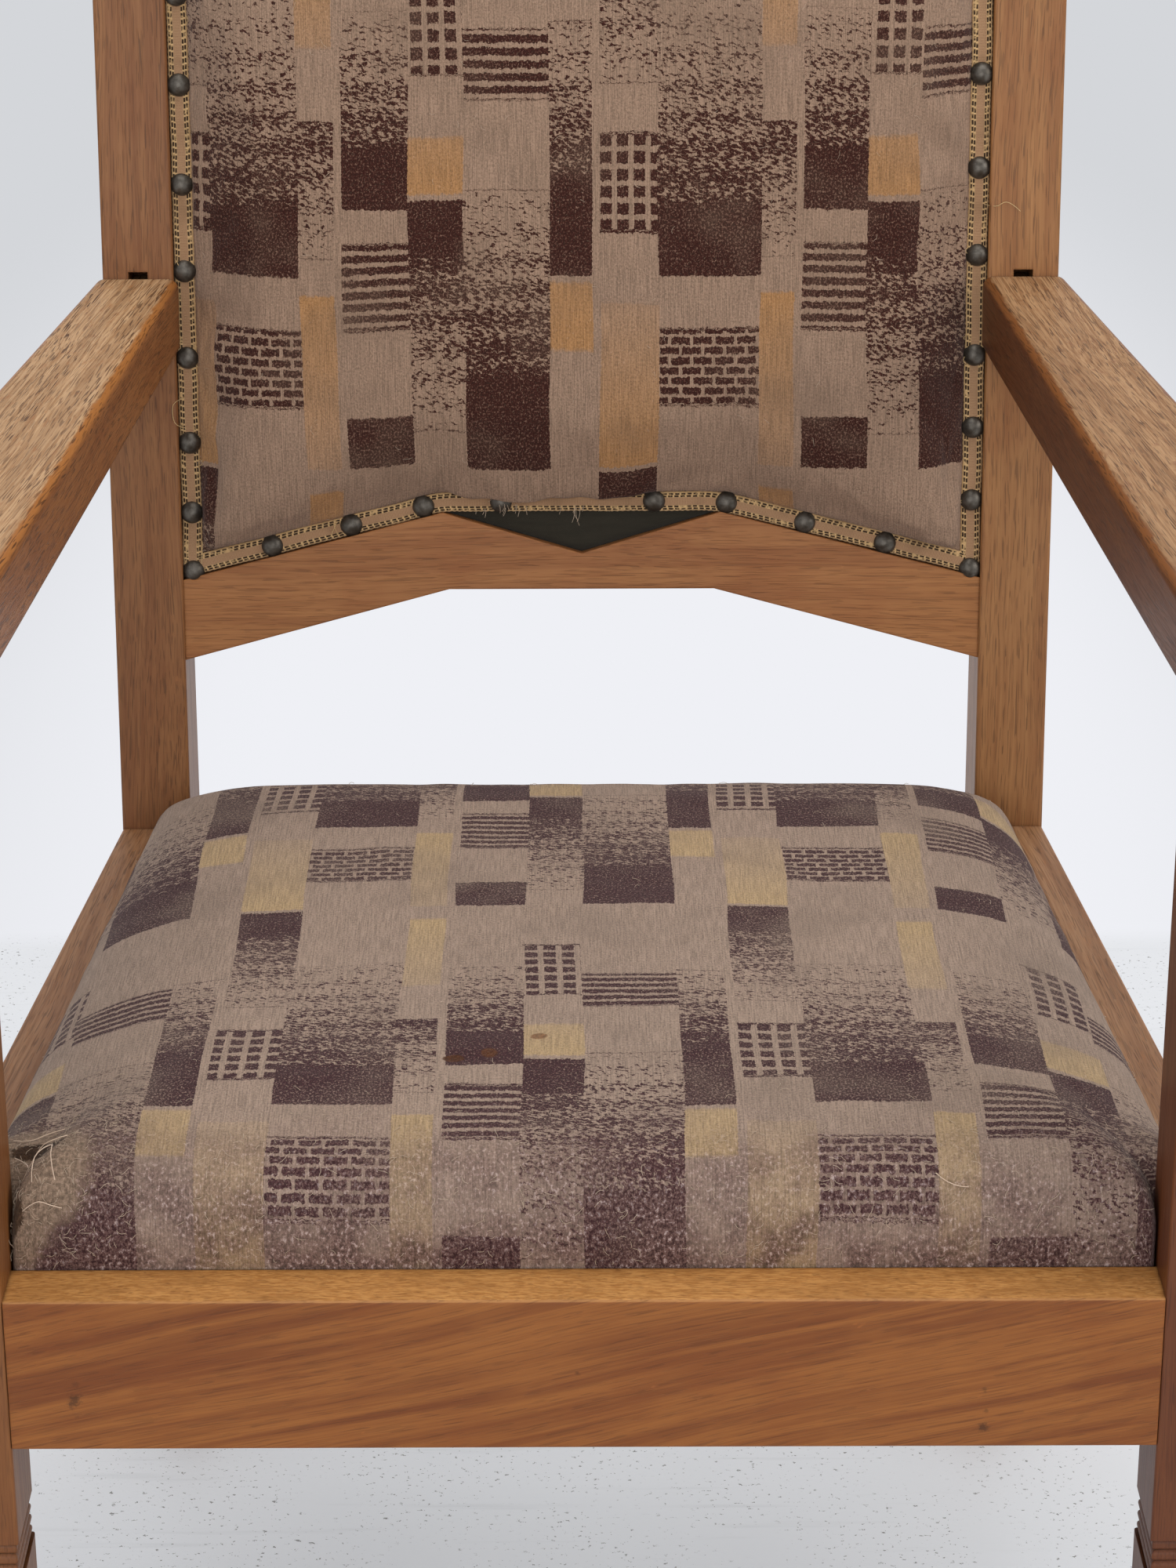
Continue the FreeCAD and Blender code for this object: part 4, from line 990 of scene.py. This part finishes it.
def make_gimps():
    braid = gimp_braid()
    line = pad_outline(gimp_gap + gimp_width / 2)
    side, top = post_inner - gimp_gap - gimp_width / 2, pad_top - gimp_gap
    foot = line[0][1] - gimp_width / 2
    make_gimp("gimp_left_braid", [(-side, foot), (-side, top)], braid, 1.0)
    make_gimp("gimp_right_braid", [(side, foot), (side, top)], braid, 2.0)
    make_gimp("gimp_top_braid", [(-side, line[4][1]), (side, line[4][1])], braid, 3.0, 0.0004)
    bend = Vector(line[1])
    inner = [Vector(line[0]) + Vector((gimp_width * 0.35, 0.0014))]
    for share in range(5):
        t = share / 4
        start = bend + (Vector(line[0]) - bend).normalized() * 0.012
        end = bend + Vector((0.012, 0))
        inner.append(start.lerp(bend, t).lerp(bend.lerp(end, t), t))
    path = inner + [Vector((-p.x, p.y)) for p in reversed(inner)]
    make_gimp("gimp_bottom_braid", path, braid, 4.0, 0.0003)


def islands(mesh):
    """Connected groups of the mesh's vertices."""
    near = [[] for _ in mesh.vertices]
    for edge in mesh.edges:
        a, b = edge.vertices
        near[a].append(b)
        near[b].append(a)
    seen, groups = set(), []
    for start in range(len(near)):
        if start in seen:
            continue
        seen.add(start)
        group, front = [], [start]
        while front:
            here = front.pop()
            group.append(here)
            for other in near[here]:
                if other not in seen:
                    seen.add(other)
                    front.append(other)
        groups.append(group)
    return groups


def merged_places(mesh):
    """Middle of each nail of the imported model, whose faces may not share their vertices."""
    middles = []
    for group in islands(mesh):
        spots = [mesh.vertices[i].co for i in group]
        middle = Vector((sum(p.x for p in spots), sum(p.y for p in spots),
                         sum(p.z for p in spots))) / len(spots)
        middles.append((middle.x, off_back(middle)[0]))
    result = []
    for place in sorted(middles):
        if all(math.hypot(place[0] - x, place[1] - u) > 0.012 for x, u in result):
            result.append(place)
    return result


nail_radius = 0.0060
nail_rise = 0.0037
nail_length = 0.0130


def make_nails():
    """Domed heads, each knocked in a little askew, with their shanks."""
    dice = random.Random(11)
    sphere = (nail_radius ** 2 + nail_rise ** 2) / (2 * nail_rise)
    opening = math.asin(nail_radius / sphere)
    rings = [(math.sin(opening * k / 7) * sphere,
              nail_rise - sphere * (1 - math.cos(opening * k / 7))) for k in range(1, 8)]
    rings += [(nail_radius, -0.0003), (nail_radius * 0.86, -0.0003), (0.0010, -0.0001),
              (0.0009, -0.0090)]
    around = 28
    points, faces = [], []
    for x, up in merged_places(nodes["back_nails"].data):
        tilt = Matrix.Rotation(math.radians(dice.uniform(-7, 7)), 3, "X")
        tilt = tilt @ Matrix.Rotation(math.radians(dice.uniform(-7, 7)), 3, "Z")
        sunk = dice.uniform(-0.0002, 0.0003)
        head = cover_base - gimp_rise - 0.0001 + sunk

        def place(a, height, b):
            local = tilt @ Vector((a, -height, b))
            return on_back(x + local.x, head + local.y, up + local.z)

        base = len(points)
        points.append(place(0, nail_rise, 0))
        for radius, height in rings:
            for step in range(around):
                angle = 2 * math.pi * step / around
                points.append(place(math.cos(angle) * radius, height, math.sin(angle) * radius))
        points.append(place(0, -nail_length + 0.001, 0))
        tip = len(points) - 1
        for step in range(around):
            after = (step + 1) % around
            faces.append((base, base + 1 + after, base + 1 + step))
            for ring in range(len(rings) - 1):
                low = base + 1 + ring * around
                faces.append((low + step, low + after, low + around + after, low + around + step))
            low = base + 1 + (len(rings) - 1) * around
            faces.append((low + step, low + after, tip))
    thing = make_object("dome_nails", points, faces)
    facing(thing)
    bronze = worn_metal("nail_bronze", linear(74, 68, 60), linear(100, 94, 86), 0.70, 0.40,
                        250.0)
    dress(thing, bronze, "chair_frame", "nail_bronze", "back_nails")


# Plain cloths

cloth_thickness = 0.0004
dust_margin = 0.0135


def bottom_edge(x):
    """Lower edge of the lining behind the notch of the lower rail."""
    x = abs(x)
    if x < lip_peak_half:
        return notch_foot + (lip_peak - notch_foot) * x / lip_peak_half
    return lip_peak - (lip_peak - lip_end) * (x - lip_peak_half) / (post_inner - lip_peak_half)


def cloth_grid(name, columns, rows, place, thickness):
    """Thin sheet on a grid, closed round its edges."""
    points = []
    for side in (0.0, thickness):
        for j in range(rows + 1):
            for i in range(columns + 1):
                points.append(place(i / columns, j / rows, side))
    faces = []
    wide = columns + 1
    whole = wide * (rows + 1)
    for j in range(rows):
        for i in range(columns):
            a = j * wide + i
            faces.append((a, a + 1, a + 1 + wide, a + wide))
            faces.append((whole + a, whole + a + wide, whole + a + 1 + wide, whole + a + 1))
    rim = list(range(columns)) + [columns + j * wide for j in range(rows)]
    rim += [rows * wide + columns - i for i in range(columns)]
    rim += [(rows - j) * wide for j in range(rows)]
    for a, b in zip(rim, rim[1:] + rim[:1]):
        faces.append((a, whole + a, whole + b, b))
    thing = make_object(name, points, faces)
    facing(thing)
    return thing


def make_cloths():
    dark = plain_weave("dark_cloth", linear(36, 33, 27), linear(62, 57, 46), 0.0007, 0.10, 0.1)
    make_lining(dark)
    make_outside(dark)
    make_dust(dark)


def make_lining(dark):
    """Lining of the back, which shows in the notch of the lower rail."""
    half = post_inner - 0.0002

    def lining_place(s, t, side):
        x = (2 * s - 1) * half
        low = bottom_edge(x) + 0.0002
        up = low + (pad_top - 0.0003 - low) * t
        fold = noise.noise(Vector((x * 30, up * 45, 2.0))) * 0.0002
        return on_back(x, lining_depth - side + fold, up)

    lining = cloth_grid("back_lining_cloth", 120, 90, lining_place, cloth_thickness)
    dress(lining, dark, "chair_frame", "dark_cloth", "back_lining")
    area = sum(pad_top - bottom_edge((2 * (k + 0.5) / 400 - 1) * half) for k in range(400))
    area *= 2 * half / 400


def make_outside(dark):
    """Cloth over the back of the pad's frame."""
    def outside_place(s, t, side):
        x = (2 * s - 1) * (post_inner - gimp_gap)
        up = outside_low + (outside_high - outside_low) * t
        slack = (1 - (2 * s - 1) ** 2) * (1 - (2 * t - 1) ** 2)
        pucker = noise.noise(Vector((x * 14, up * 9, 4.0))) * 0.0010 * slack
        return on_back(x, outside_depth - 0.0003 + side - 0.0012 * slack + pucker, up)

    outside = cloth_grid("outside_cloth", 100, 90, outside_place, cloth_thickness)
    dress(outside, dark, "chair_frame", "dark_cloth", "outside_back_cloth")


def make_dust(dark):
    """Dust cloth under the seat's frame."""
    low_corner, high_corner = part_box("seat_dust_cloth")
    front, back = low_corner.y, high_corner.y

    def dust_place(s, t, side):
        y = front + (back - front) * t
        reach = side_edge(max(y, leg_back)) - dust_margin
        if y < leg_back + 0.014:
            reach = leg_inner - dust_margin
        slack = (1 - (2 * s - 1) ** 2) * (1 - (2 * t - 1) ** 2)
        pucker = noise.noise(Vector((s * 6, t * 7, 1.0))) * 0.0012 * slack
        return Vector(((2 * s - 1) * reach, y,
                       low_corner.z + 0.0004 + side - 0.0008 * slack + pucker))

    dust = cloth_grid("dust_cloth", 100, 90, dust_place, cloth_thickness)
    dress(dust, dark, "drop_in_seat", "dark_cloth", "seat_dust_cloth")
    narrow = 2 * (side_edge(back) - dust_margin)


# Threads and fibres

def strands(name, lines, radius, material, body):
    """One curve object of many thin threads."""
    data = bpy.data.curves.new(name, "CURVE")
    data.dimensions = "3D"
    data.bevel_depth = radius
    data.bevel_resolution = 0
    data.resolution_u = 3
    for line in lines:
        spline = data.splines.new("NURBS")
        spline.points.add(len(line) - 1)
        for point, place in zip(spline.points, line):
            point.co = (*place, 1.0)
        spline.order_u = 3
        spline.use_endpoint_u = True
    thing = bpy.data.objects.new(name, data)
    bpy.context.scene.collection.objects.link(thing)
    data.materials.append(material)
    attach(thing, body)


def surface_of(thing):
    mesh = thing.data
    return BVHTree.FromPolygons([vertex.co.copy() for vertex in mesh.vertices],
                                [tuple(face.vertices) for face in mesh.polygons])


def loose_fibres(thing, count, seed, chosen, length, lift):
    """Short curling fibres over a piece's surface, where chosen says how likely they are."""
    dice = random.Random(seed)
    mesh = thing.data
    faces = [face for face in mesh.polygons if chosen(face.center) > 0]
    weights = [face.area * chosen(face.center) for face in faces]
    lines = []
    for face in dice.choices(faces, weights, k=count):
        here = face.center.copy()
        normal = face.normal.copy()
        direction = normal.cross(Vector((dice.uniform(-1, 1), dice.uniform(-1, 1),
                                         dice.uniform(-1, 1)))).normalized()
        here += direction * dice.uniform(0, 0.002)
        line = [here - normal * 0.0002]
        size = dice.uniform(*length)
        for step in range(1, 5):
            direction = (direction + normal.cross(direction) * dice.uniform(-0.8, 0.8)).normalized()
            height = lift * math.sin(math.pi * step / 4.6) * dice.uniform(0.5, 1.2)
            here = here + direction * size / 4
            line.append(here + normal * (height + 0.0002))
        lines.append(line)
    return lines


def make_threads(seat, back):
    """Loose fibres and torn threads of both covers and the braid."""
    pale = thread_material("pale_fibre", linear(206, 186, 162), linear(150, 124, 100))
    cream = thread_material("cream_thread", linear(222, 190, 132), linear(180, 146, 96))
    bare = thread_material("bare_thread", linear(232, 208, 184), linear(196, 166, 140))
    seat_threads(seat, pale, bare)
    back_threads(back, pale, cream)


def seat_threads(seat, pale, bare):
    """Fibres along the seat's front and threads at its torn left corner."""
    def on_front(place):
        near = max(0.0, 1 - (place.y - front_ledge) / 0.11)
        left = max(0.0, 1 - (Vector((place.x + 0.24, place.y + 0.235)).length) / 0.06)
        if place.z < rail_top + 0.004:
            return 0.0
        return 0.05 + near ** 2 + 4 * left

    fuzz = loose_fibres(seat, 900, 5, on_front, (0.002, 0.0060), 0.0007)
    strands("seat_fibres", fuzz, 0.00011, pale, "drop_in_seat")
    surface = surface_of(seat)

    def laid(points, height=0.0006):
        line = []
        for x, y, over in points:
            hit = surface.ray_cast(Vector((x, y, rail_top + 0.2)), Vector((0, 0, -1)))[0]
            spot = hit if hit else Vector((x, y, rail_top + 0.03))
            line.append(spot + Vector((0, -0.3, 1.0)).normalized() * (height + over))
        return line

    torn = [laid(points) for points in (
        ((-0.247, -0.224, 0), (-0.239, -0.229, 0.002), (-0.232, -0.224, 0.003),
         (-0.225, -0.221, 0.001)),
        ((-0.241, -0.244, 0), (-0.235, -0.236, 0.003), (-0.229, -0.237, 0.004),
         (-0.222, -0.234, 0.001)),
        ((-0.235, -0.258, 0), (-0.236, -0.249, 0.004), (-0.231, -0.242, 0.004),
         (-0.228, -0.239, 0.001)),
        ((-0.239, -0.262, 0), (-0.233, -0.2615, 0.002), (-0.227, -0.2622, 0.002),
         (-0.222, -0.2625, 0.0015)),
        ((-0.233, -0.232, 0), (-0.227, -0.240, 0.003), (-0.228, -0.250, 0.003),
         (-0.225, -0.258, 0.001)),
        ((-0.245, -0.236, 0), (-0.238, -0.242, 0.002), (-0.237, -0.252, 0.002)),
        ((0.150, -0.2565, 0), (0.156, -0.2600, 0.001), (0.164, -0.2598, 0.0)))]
    strands("seat_torn_threads", torn, 0.00024, bare, "drop_in_seat")


def back_threads(back, pale, cream):
    """Lint on the back, loose loops of the braid and frayed ends where the cover droops."""
    lint = loose_fibres(back, 160, 9, lambda place: 0.4, (0.002, 0.006), 0.0006)
    strands("back_fibres", lint, 0.00008, pale, "chair_frame")
    dice = random.Random(21)
    loops = []
    side = post_inner - gimp_gap
    for sign in (-1, 1):
        for _ in range(9):
            up = dice.uniform(0.15, 0.45)
            out = dice.choice((0.0, gimp_width))
            reach = dice.uniform(0.0006, 0.0018) * (1 if out else -1)
            size = dice.uniform(0.002, 0.006)
            edge = sign * (side - out)
            loops.append([on_back(edge + sign * 0.0006, 0.0038, up),
                          on_back(edge - sign * reach, 0.0024, up + size * 0.3),
                          on_back(edge - sign * reach, 0.0022, up + size * 0.7),
                          on_back(edge + sign * 0.0006, 0.0036, up + size)])
    loops.append([on_back(x, d, u) for x, d, u in (
        (-0.2095, 0.0032, 0.2360), (-0.2150, -0.0010, 0.2352), (-0.2158, -0.0014, 0.2285),
        (-0.2142, -0.0012, 0.2215), (-0.2092, 0.0028, 0.2200))])
    loops.append([on_back(x, d, u) for x, d, u in (
        (0.2105, 0.0030, 0.3368), (0.2160, -0.0012, 0.3352), (0.2210, -0.0012, 0.3392),
        (0.2262, -0.0010, 0.3362), (0.2290, -0.0006, 0.3335))])
    for x, u, lean, size in ((-0.2075, 0.3010, -0.004, 0.008), (-0.1335, 0.1618, 0.003, 0.007),
                             (-0.1300, 0.1622, -0.002, 0.006), (-0.2030, 0.1465, 0.001, 0.012)):
        loops.append([on_back(x, 0.0032, u), on_back(x + lean * 0.5, 0.0008, u + size * 0.5),
                      on_back(x + lean, 0.0020, u + size)])
    strands("gimp_threads", loops, 0.00020, cream, "chair_frame")
    frays = []
    for _ in range(16):
        x = dice.uniform(droop_places[1] - 0.006, droop_places[2] + 0.006)
        u = lip_peak + 0.0002 + dice.uniform(0, 0.003)
        drop = dice.uniform(0.0010, 0.0030)
        frays.append([on_back(x, -0.0010, u + 0.002), on_back(x + dice.uniform(-1, 1) * 0.001,
                                                              -0.0016, u),
                      on_back(x + dice.uniform(-1, 1) * 0.0015, -0.0006, u - drop)])
    for x, drop, sway in ((-0.0040, 0.0050, 0.0010), (-0.0025, 0.0066, -0.0014),
                          (-0.0012, 0.0046, 0.0012), (-0.0034, 0.0038, -0.0018)):
        frays.append([on_back(x, -0.0010, lip_peak + 0.003), on_back(x + sway, -0.0022, lip_peak),
                      on_back(x - sway, -0.0010, lip_peak - drop)])
    strands("back_frays", frays, 0.00013, pale, "chair_frame")


# Studio

paper_start = 0.93
paper_full = 0.97


def make_floor():
    """Painted boards with the object's shadow, and plain paper behind them."""
    g = Graph("floor_paint")
    space = g.add("ShaderNodeTexCoord").outputs["Object"]
    cloud = g.noise(space, 3.0, 4.0, 0.6)
    fleck = g.noise(g.stretch(space, 1.0, 1.3, 1.0), 250.0, 3.0, 0.7)
    spread = g.noise(space, 12.0, 4.0, 0.6)
    colour = g.mix(cloud, linear(236, 238, 241), linear(248, 249, 252))
    marks = g.math("MULTIPLY", g.step(fleck, 0.625, 0.655), g.step(spread, 0.38, 0.52))
    colour = g.mix(g.math("MULTIPLY", marks, 0.80), colour, linear(96, 92, 82))
    streak = g.noise(g.stretch(space, 5.0, 90.0, 1.0), 1.0, 3.0, 0.6)
    colour = g.mix(g.math("MULTIPLY", g.step(streak, 0.58, 0.72), 0.12), colour,
                   linear(170, 172, 172))
    painted = g.add("ShaderNodeBsdfPrincipled", {"Base Color": colour, "Roughness": 0.55,
                                                 "Normal": g.bump(fleck, 0.0006, 0.3)})

    # Plain paper behind the painted boards, as pale as the wall in the picture
    place = g.parts(space)
    sides = g.math("SUBTRACT", place[0], 0.05)
    depth = g.math("MULTIPLY", g.math("SUBTRACT", place[1], 1.2), 0.28)
    reach = g.math("SQRT", g.math("ADD", g.math("MULTIPLY", sides, sides),
                                  g.math("MULTIPLY", depth, depth)))
    # Painted shade: the paper's tone darkens away from the middle behind the chair.
    tone = g.mix(g.step(reach, 0.30, 0.95), linear(239, 240, 245), linear(212, 214, 218))
    plain = g.add("ShaderNodeBsdfDiffuse", {"Color": (0.80, 0.81, 0.83, 1.0)})
    shown = g.add("ShaderNodeEmission", {"Color": tone, "Strength": 1.0})
    path = g.add("ShaderNodeLightPath").outputs
    direct = g.math("MAXIMUM", path["Is Camera Ray"], g.math(
        "MAXIMUM", path["Is Glossy Ray"], path["Is Transmission Ray"]))
    paper = g.add("ShaderNodeMixShader", {0: direct, 1: plain.outputs[0], 2: shown.outputs[0]})
    glow = g.add("ShaderNodeEmission", {"Color": colour, "Strength": 0.95})
    boards = g.add("ShaderNodeMixShader", {0: g.math("MULTIPLY", direct, 0.20),
                                           1: painted.outputs[0], 2: glow.outputs[0]})
    ground = g.add("ShaderNodeMixShader", {0: g.step(place[1], paper_start, paper_full),
                                           1: boards.outputs[0], 2: paper.outputs[0]})
    g.add("ShaderNodeOutputMaterial", {"Surface": ground.outputs[0]})
    floor = make_object("floor", [(-9, -9, 0), (9, -9, 0), (9, 9, 0), (-9, 9, 0)],
                        [(0, 1, 2, 3)], smooth=False)
    floor.data.materials.append(g.material)


def make_world():
    """Soft light on the object, and a paler tone where the background is seen directly."""
    world = bpy.data.worlds.new("studio")
    bpy.context.scene.world = world
    world.use_nodes = True
    tree = world.node_tree
    tree.nodes.clear()
    light = tree.nodes.new("ShaderNodeBackground")
    light.inputs["Color"].default_value = (0.95, 0.97, 1.0, 1.0)
    light.inputs["Strength"].default_value = 0.52
    seen = tree.nodes.new("ShaderNodeBackground")
    seen.inputs["Color"].default_value = (*linear(226, 229, 235), 1.0)
    path = tree.nodes.new("ShaderNodeLightPath")
    mix = tree.nodes.new("ShaderNodeMixShader")
    direct = path.outputs["Is Camera Ray"]
    for ray in ("Is Glossy Ray", "Is Transmission Ray"):
        either = tree.nodes.new("ShaderNodeMath")
        either.operation = "MAXIMUM"
        tree.links.new(direct, either.inputs[0])
        tree.links.new(path.outputs[ray], either.inputs[1])
        direct = either.outputs[0]
    tree.links.new(direct, mix.inputs[0])
    tree.links.new(light.outputs[0], mix.inputs[1])
    tree.links.new(seen.outputs[0], mix.inputs[2])
    output = tree.nodes.new("ShaderNodeOutputWorld")
    tree.links.new(mix.outputs[0], output.inputs[0])


def make_lamps():
    """Three broad lamps aimed at the seat."""
    lamps = (("key", (2.5, -1.15, 1.85), 1.4, 22.0, (1.0, 0.98, 0.95)),
             ("front", (-0.3, -3.1, 1.3), 2.4, 34.0, (0.97, 0.98, 1.0)),
             ("top", (0.1, 0.1, 2.9), 2.2, 32.0, (1.0, 0.99, 0.97)))
    for name, place, size, power, colour in lamps:
        data = bpy.data.lights.new(name, "AREA")
        data.size = size
        data.energy = power
        data.color = colour
        lamp = bpy.data.objects.new(name, data)
        bpy.context.scene.collection.objects.link(lamp)
        lamp.location = place
        aim = Vector((0.0, 0.0, 0.5)) - Vector(place)
        lamp.rotation_euler = aim.to_track_quat("-Z", "Y").to_euler()


def make_studio():
    make_floor()
    make_world()
    make_lamps()
    bpy.context.scene.view_settings.view_transform = "Standard"


def set_material(name, material):
    mesh = nodes[name].data
    mesh.materials.clear()
    mesh.materials.append(material)


def paint_frame():
    """Oak of the show wood."""
    lean = (rake, 0.0, 0.0)
    front_marks = (((-0.2175, front_face, rail_top - 0.0485), 0.0044, 0.75),
                   ((-0.2168, front_face, rail_top - 0.0400), 0.0022, 0.35),
                   ((-0.2165, front_face, rail_top - 0.0560), 0.0024, 0.40),
                   ((0.1705, front_face, rail_top - 0.0440), 0.0017, 0.50),
                   ((0.1712, front_face, rail_top - 0.0545), 0.0014, 0.40),
                   ((0.1708, front_face, rail_top - 0.0630), 0.0028, 0.75),
                   ((-0.0030, front_face, rail_top - 0.0350), 0.0014, 0.50))
    # Darker tone for the left front leg and the back seat rail: painted shade.
    painted_shade_tone = (122, 74, 38)
    # Paler tones for the upward faces and their rims: partly worn varnish, partly painted light on the
    # tops and painted highlight on the rounded edges.
    gold = {"bare": 0.9, "worn_and_lit_tones": ((202, 146, 82), (172, 116, 58)), "worn_and_lit_rim_tone": (196, 142, 84)}
    grey = {"bare": 0.35, "worn_and_lit_tones": ((186, 146, 110), (150, 112, 80))}
    worn_and_lit_left = {"bare": 1.0, "worn_and_lit_tones": ((194, 156, 116), (158, 118, 80))}
    worn_and_lit_right = {"bare": 0.95, "worn_and_lit_tones": ((178, 138, 98), (144, 104, 68)),
                  "worn_and_lit_rim_tone": (150, 92, 44)}
    waxed = {"polish": 0.05}
    # Matching left and right pieces get different tones for how the light falls: the right post and
    # right side rail are painted lighter (painted light), the right arm and right front leg darker
    # (painted shade).
    boards = (
        ("back_post_left", "Z", lean, 1.0, (134, 87, 52), 0.60, 0.55, waxed),
        ("back_post_right", "Z", lean, 2.0, (152, 103, 63), 0.60, 0.55, waxed),
        ("front_leg_left", "Z", (0, 0, 0), 3.0, painted_shade_tone, 0.40, 0.45, waxed),
        ("front_leg_right", "Z", (0, 0, 0), 4.0, (98, 52, 26), 0.40, 0.45, waxed),
        ("front_rail", "X", (0, math.radians(13), 0), 5.0, (138, 80, 34), 0.35, 1.0, gold),
        ("back_seat_rail", "X", (0, 0, 0), 6.0, painted_shade_tone, 0.40, 0.45, {}),
        ("side_rail_left", "Y", (0, 0, splay), 7.0, (136, 90, 58), 0.60, 0.6, grey),
        ("side_rail_right", "Y", (0, 0, -splay), 8.0, (150, 104, 70), 0.60, 0.6, grey),
        ("arm_left", "Y", (0, 0, math.radians(6)), 9.0, (134, 82, 44), 0.95, 0.5, worn_and_lit_left),
        ("arm_right", "Y", (0, 0, math.radians(-6)), 10.0, (98, 54, 26), 0.75, 0.5, worn_and_lit_right),
        ("lower_back_rail", "X", (0, 0, 0), 11.0, (156, 101, 59), 0.45, 0.5, {}),
        ("top_back_rail", "X", (0, 0, 0), 12.0, (140, 92, 56), 0.45, 0.45, {}),
    )
    for name, along, turn, seed, tone, pores, bands, more in boards:
        knots = front_marks if name == "front_rail" else ()
        set_material(name, oak(name, along, turn, seed, tone, pores, bands, knots=knots,
                               **more))


def paint_hidden():
    """Beech, steel and jute of the pieces behind the show wood."""
    for name, along in (("seat_frame_front", "X"), ("seat_frame_back", "X"),
                        ("seat_frame_left", "Y"), ("seat_frame_right", "Y"),
                        ("back_frame_top", "X"), ("back_frame_bottom", "X"),
                        ("back_frame_left", "Z"), ("back_frame_right", "Z"),
                        ("corner_block_front_left", "X"), ("corner_block_front_right", "X"),
                        ("corner_block_back_left", "X"), ("corner_block_back_right", "X")):
        set_material(name, beech(name, along))
    steel = worn_metal("screw_steel", linear(92, 88, 82), linear(150, 146, 138), 1.0, 0.45)
    for name in ("corner_block_screws", "back_frame_screws"):
        set_material(name, steel)
    blued = worn_metal("tack_steel", linear(40, 42, 48), linear(74, 76, 84), 0.9, 0.45)
    for name in ("outside_cloth_tacks", "seat_tacks"):
        set_material(name, blued)
    jute = plain_weave("jute_webbing", linear(120, 92, 60), linear(168, 138, 98), 0.0022)
    for name in ("back_webbing_upright", "back_webbing_cross", "seat_webbing_long",
                 "seat_webbing_cross", "back_hessian", "seat_hessian"):
        set_material(name, jute)


make_camera()
make_studio()
paint_frame()
paint_hidden()

seat = make_seat()
seat_pile = pile_fabric("seat_pile", linear(159, 137, 121), linear(66, 40, 43),
                        linear(182, 154, 114), worn_front=0.85, wear=0.45)
dress(seat, seat_pile, "drop_in_seat", "moquette", "seat_cover", "seat_stuffing")

back = make_back()
back_fabric = pile_fabric("back_pile", linear(152, 125, 105), linear(61, 32, 26),
                          linear(170, 124, 78), shift=(0.06, 0.11), wear=0.30)
dress(back, back_fabric, "chair_frame", "moquette", "back_cover", "back_stuffing")

make_gimps()
make_nails()
make_cloths()
make_threads(seat, back)
